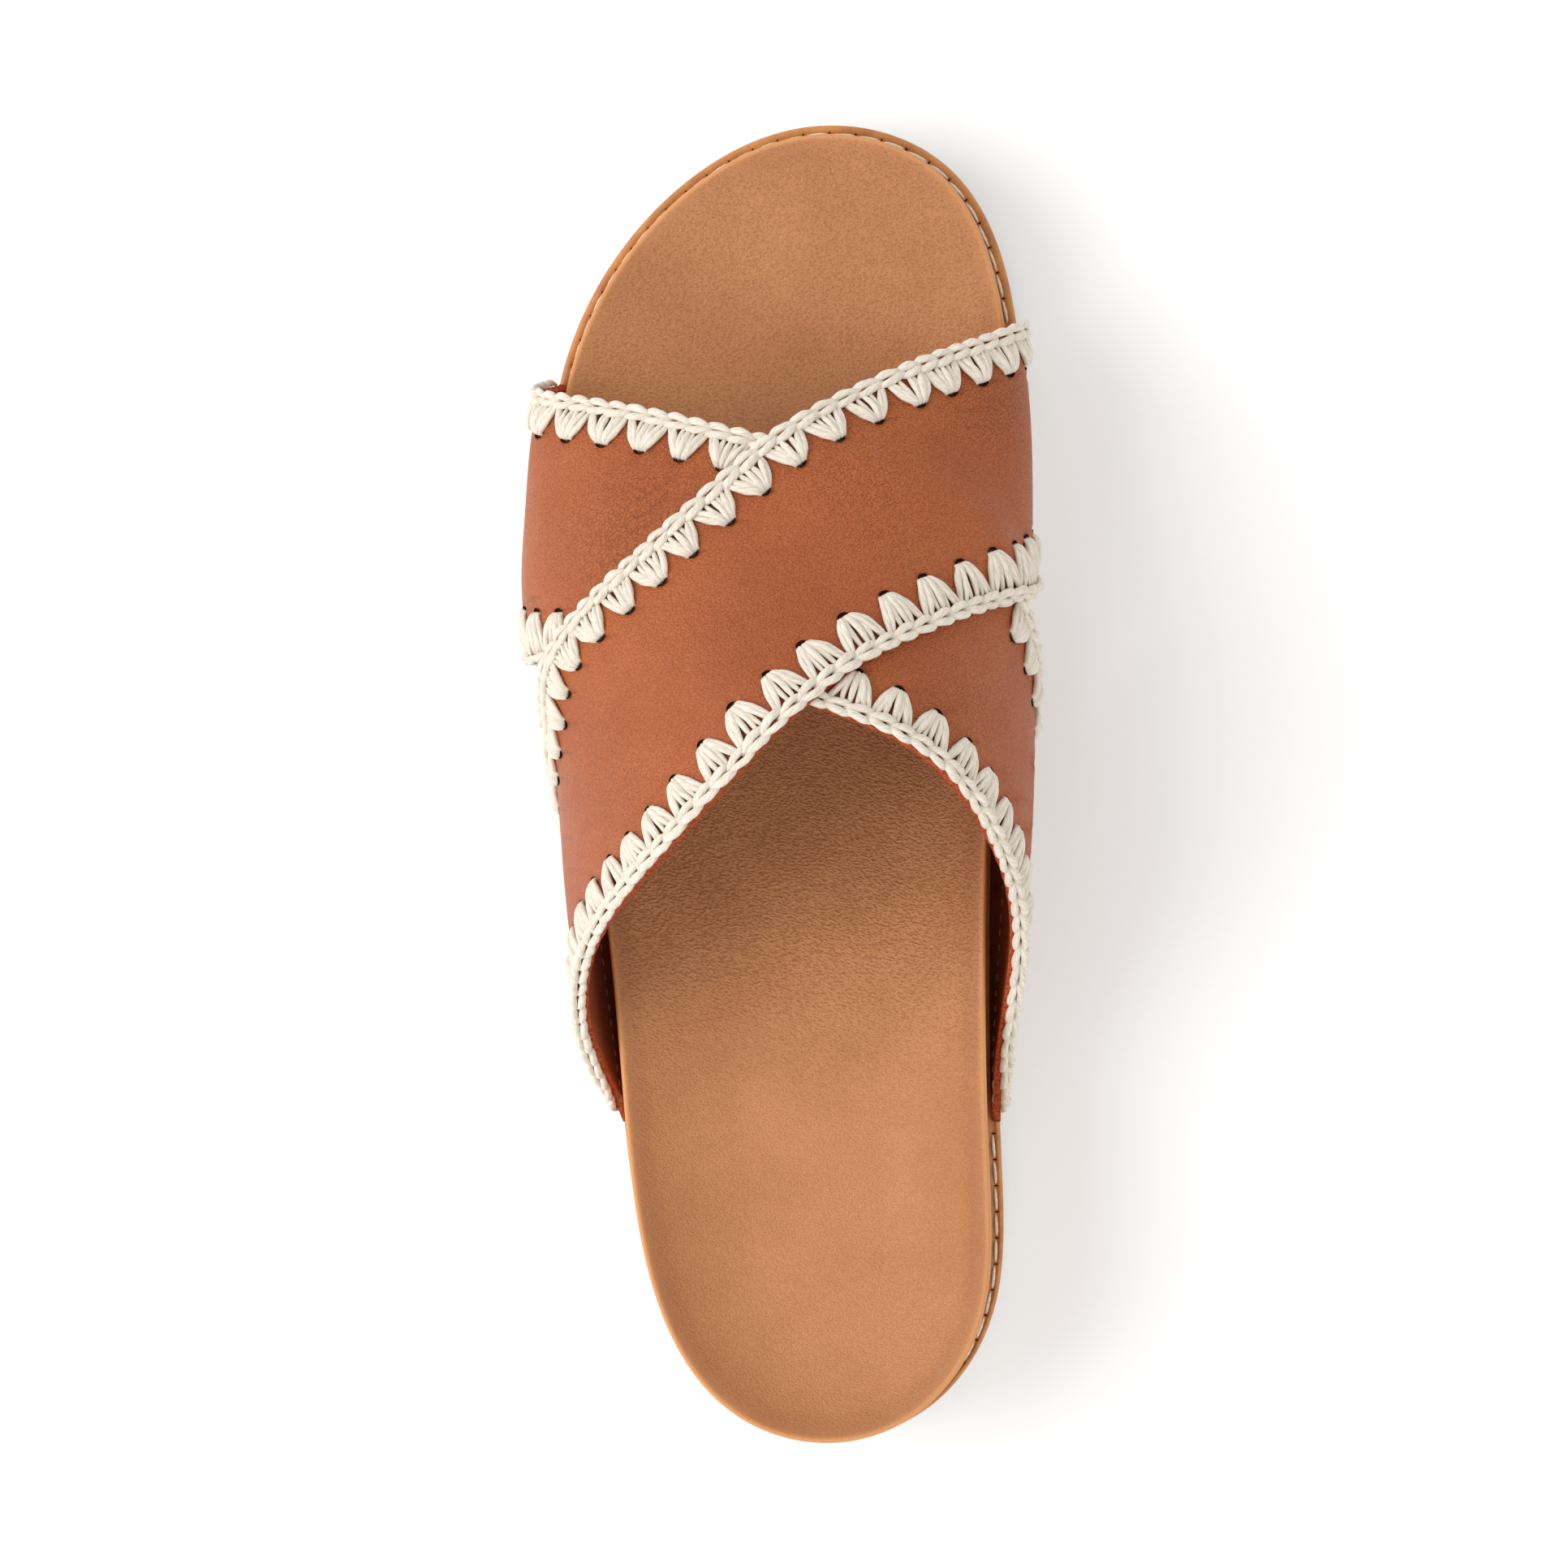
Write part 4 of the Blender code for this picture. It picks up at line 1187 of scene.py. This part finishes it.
def chain_tubes(path):
    """Interlocked links of the chain: two sides that open away from the link's point."""
    opening = 1.0 if path.at_rear else -1.0
    stops = np.sort(np.concatenate(path.fan_places()))
    link_run, link_spread, link_rise, link_radius = np.array(LINK).T
    controls = []
    radii = []
    for low, high in zip(stops, stops[1:]):
        apex = low if path.at_rear else high
        scale = (high - low) / (0.5 * FAN_PITCH)
        for side in (-1.0, 1.0):
            slack = LINK_SLACK * rng.normal(0.0, 1.0, len(LINK_SLACK))
            run = apex + opening * scale * link_run + slack[0]
            spread = link_spread * CHAIN_HALF * side + slack[1]
            depth, height = path.lean_chain(run, spread, link_rise + slack[2])
            controls.append(np.column_stack([run, depth, height]))
            radii.append(link_radius * (1.0 + slack[1]))
    return path.strands(controls, radii, LINK_SAMPLES, LINK_YARN)


def build_crochet(paths):
    yarn = yarn_material("crochet_cotton", (235, 227, 213), (206, 193, 173), (34, 22, 16))
    for path in paths:
        node = path.edging.node
        make_piece(node + "_yarn", join([fan_tubes(path), chain_tubes(path)]), [yarn], [node])


def build_punched_holes(paths):
    """Dark bowls of painted shade in the holes that the fans dive into."""
    theta = FULL_TURN * np.arange(HOLE_SIDES) / HOLE_SIDES
    reach = np.linspace(0.0, 1.0, HOLE_RINGS)[:, None]
    height = HOLE_RIM - 0.42 * (1.0 - reach ** 2) - 0.30 * bell(reach)
    faces = loop_faces(HOLE_RINGS, HOLE_SIDES).tolist()
    bowls = []
    for path in paths:
        depth = path.hole_depth() + HOLE_SHIFT + HOLE_WIDE * reach * np.sin(theta)
        for middle in path.fan_places()[0]:
            run = middle + HOLE_LONG * reach * np.cos(theta)
            bowls.append(Skin(path.place(run, depth, height)[0].reshape(-1, 3), faces, {}))
    shadow = hole_material("hole_shadow", (26, 14, 10), (52, 27, 17))
    make_piece("punched_holes", join(bowls), [shadow])


def build_lining_stitches():
    """Row of stitches low on the inside of each strap end."""
    stitches = []
    for end, girth in ((0.0, LINING_STITCH), (1.0, 1.0 - LINING_STITCH)):
        for strap in STRAPS:
            rear = strap.rear(end)
            count = int((strap.front(end) - rear - 2.0 * LINING_END) / LINING_PITCH)
            for k in range(count):
                first = rear + LINING_END + k * LINING_PITCH
                y = first + np.linspace(0.0, LINING_LENGTH, len(LINING_BOW))
                stitches.append(upper_point(np.full(y.shape, girth), y, -LINING_BOW)[0])
    centres = catmull(np.array(stitches), LINING_SAMPLES)
    inward = np.zeros(centres.shape)
    inward[..., 0] = np.where(centres[..., 0] < 0.0, 1.0, -1.0)
    radii = LINING_RADIUS * np.sin(np.linspace(0.35, math.pi - 0.35, LINING_SAMPLES))
    thread = yarn_material("lining_thread", (172, 118, 74), (138, 88, 52), (60, 30, 18))
    make_piece("lining_stitches", tubes(centres, inward, radii, LINING_THREAD), [thread])


def press_crease(crease, plan):
    """Trough of a crease with a soft ridge on each side, faded at both ends."""
    start = np.array([crease.x0, crease.y0])
    run = np.array([crease.x1, crease.y1]) - start
    length = np.linalg.norm(run)
    ahead = run / length
    offset = plan - start
    along = offset @ ahead / length
    bow = crease.bow * 4.0 * along * (1.0 - along)
    across = (offset @ np.array([-ahead[1], ahead[0]]) - bow) / crease.width
    fade = smoothstep((along + 0.25) / 0.35) * smoothstep((1.15 - along) / 0.45)
    return fade * (bell(across) - 0.45 * bell((np.abs(across) - 1.9) / 0.8))


def hole_creases(over, holes):
    """Short puckers that the yarn pulls beside each hole, towards the inner side of the foot."""
    made = []
    for k, (x, y, _) in enumerate(holes):
        lean = 0.5 * math.sin(2.4 * k)
        reach = 3.2 + 0.9 * math.sin(1.7 * k)
        made.append(Crease(over, x + 0.7, y, x + reach, y + lean, 0.2, 0.62, 0.16))
    return made


def press_holes(points, normals, on_face, holes):
    """Dimples the face at each hole, and says how near each point is to one."""
    value = np.zeros(len(points))
    for hole in holes:
        away = np.linalg.norm(points - hole, axis=1)
        near = (away < HOLE_DIMPLE_REACH) & on_face
        dip = HOLE_DIMPLE * bell(away[near] / HOLE_DIMPLE_RADIUS)
        points[near] -= normals[near] * dip[:, None]
        value[near] = np.maximum(value[near], bell(away[near] / HOLE_SHADE_RADIUS))
    return value


def press_creases(points, normals, on_face, creases):
    """Folds the face along the creases, and says how deep in one each point lies."""
    value = np.zeros(len(points))
    for crease in creases:
        trough = press_crease(crease, points[:, :2]) * on_face
        points -= normals * (crease.depth * trough)[:, None]
        value = np.maximum(value, np.maximum(trough, 0.0) * min(1.0, crease.depth / FULL_CREASE))
    return value


def strap_section():
    """Round a strap over face, front edge, lining and rear edge: share of its width, reach, height."""
    outer = np.linspace(0.0, 1.0, STRAP_OUTER_STEPS)
    inner = np.linspace(1.0, 0.0, STRAP_INNER_STEPS)
    bend = np.linspace(0.0, math.pi, EDGE_STEPS + 2)[1:-1]
    half = 0.5 * STRAP_THICKNESS
    swell = EDGE_ROUND * np.sin(bend)
    slant = EDGE_BEVEL * bend / math.pi
    bevel = EDGE_BEVEL * (1.0 - 2.0 * inner)
    share = np.concatenate([outer, np.ones(EDGE_STEPS), inner, np.zeros(EDGE_STEPS)])
    extra = np.concatenate([np.zeros(len(outer)), swell - slant, bevel, EDGE_BEVEL - slant - swell])
    face = np.full(len(outer), STRAP_THICKNESS)
    drop = half * np.cos(bend)
    return share, extra, np.concatenate([face, half + drop, np.zeros(len(inner)), half - drop])


def strap_kinds():
    """Material of each face of a strap: 0 grained face, 1 cut edge and ends, 2 lining."""
    edge = np.ones(EDGE_STEPS + 1)
    across = [np.zeros(STRAP_OUTER_STEPS - 1), edge, np.full(STRAP_INNER_STEPS - 1, 2), edge]
    return np.concatenate([np.tile(np.concatenate(across), STRAP_GIRTH_STEPS), [1, 1]])


def strap_skin(strap, holes):
    """One strap as a closed skin: grained face, cut edges and lining."""
    share, extra, level = strap_section()
    columns = len(share)
    girth = np.linspace(0.0, 1.0, STRAP_GIRTH_STEPS + 1)[:, None]
    rear = strap.rear(girth)
    waves = FULL_TURN * girth * STRAP_GIRTH / EDGE_WAVE_LENGTH + 2.0 * np.sin(23.0 * girth)
    near_edge = np.abs(2.0 * share - 1.0) ** 12 * np.sign(2.0 * share - 1.0)
    y = rear + (strap.front(girth) - rear) * share + extra + EDGE_WAVE * np.sin(waves) * near_edge
    girth = np.broadcast_to(girth, y.shape)
    points, normals = (x.reshape(-1, 3) for x in upper_point(girth, y, strap.lift(girth, y) + level))
    on_face = np.tile(np.arange(columns) < STRAP_OUTER_STEPS, STRAP_GIRTH_STEPS + 1)
    creases = [crease for crease in CREASES if crease.over == strap.over] + hole_creases(strap.over, holes)
    values = {
        "hole": press_holes(points, normals, on_face, holes),
        "crease": press_creases(points, normals, on_face, creases),
        "worn": np.full(len(points), WORN_EVERYWHERE),
        "stain": np.zeros(len(points)),
    }
    # Wrinkle strength and painted shade of each patch
    for patch in WRINKLES_AND_SHADE:
        if patch.over == strap.over:
            near = bell(np.hypot(points[:, 0] - patch.x, points[:, 1] - patch.y) / patch.reach)
            values["worn"] += patch.wrinkles * near
            values["stain"] += patch.stain * near
    faces = loop_faces(STRAP_GIRTH_STEPS + 1, columns).tolist()
    last = STRAP_GIRTH_STEPS * columns
    ends = [list(range(columns)), list(range(last + columns - 1, last - 1, -1))]
    return Skin(points, faces + ends, values)


def build_upper(paths):
    skins = []
    for strap in STRAPS:
        holes = [hole for path in paths if path.edging.over == strap.over for hole in path.holes()]
        skins.append(strap_skin(strap, holes))
    materials = [strap_material(), cut_edge_material(), lining_material()]
    kinds = np.tile(strap_kinds(), len(skins))
    make_piece("upper_leather", join(skins), materials, ["upper"], kinds)


# Studio
def build_floor():
    mesh = bpy.data.meshes.new("floor")
    corners = [(FLOOR_HALF * x, FLOOR_HALF * y, 0.0) for x, y in ((-1, -1), (1, -1), (1, 1), (-1, 1))]
    mesh.from_pydata(corners, [], [(0, 1, 2, 3)])
    mesh.materials.append(floor_material())
    floor = add_object("floor", mesh)


def build_lights():
    world = bpy.data.worlds.new("studio")
    world.use_nodes = True
    feed(world.node_tree.nodes["Background"], {"Color": WHITE, "Strength": SKY_STRENGTH})
    bpy.context.scene.world = world
    for row in LIGHTS:
        light = bpy.data.lights.new(row.name, "AREA")
        light.shape = "DISK"
        light.size = row.size
        light.energy = row.power
        lamp = add_object(row.name, light)
        lamp.location = row.place
        lamp.rotation_euler = (LIGHT_TARGET - Vector(row.place)).to_track_quat("-Z", "Y").to_euler()


def build_camera():
    scene = bpy.context.scene
    scene.view_settings.view_transform = "Standard"
    lens = bpy.data.cameras.new("camera")
    lens.lens = LENS
    lens.sensor_width = SENSOR
    camera = add_object("camera", lens)
    eye = EYE * MM
    back = (eye - AIM * MM).normalized()
    right = Vector((0.0, 1.0, 0.0)).cross(back).normalized()
    camera.matrix_world = Matrix((right, back.cross(right), back)).transposed().to_4x4()
    camera.location = eye
    scene.camera = camera


def build_sandal():
    paths = [EdgePath(edging) for edging in all_edgings()]
    build_outsole()
    build_welt()
    build_welt_stitches()
    build_footbed()
    build_upper(paths)
    build_punched_holes(paths)
    build_lining_stitches()
    build_crochet(paths)


build_sandal()
build_floor()
build_lights()
build_camera()
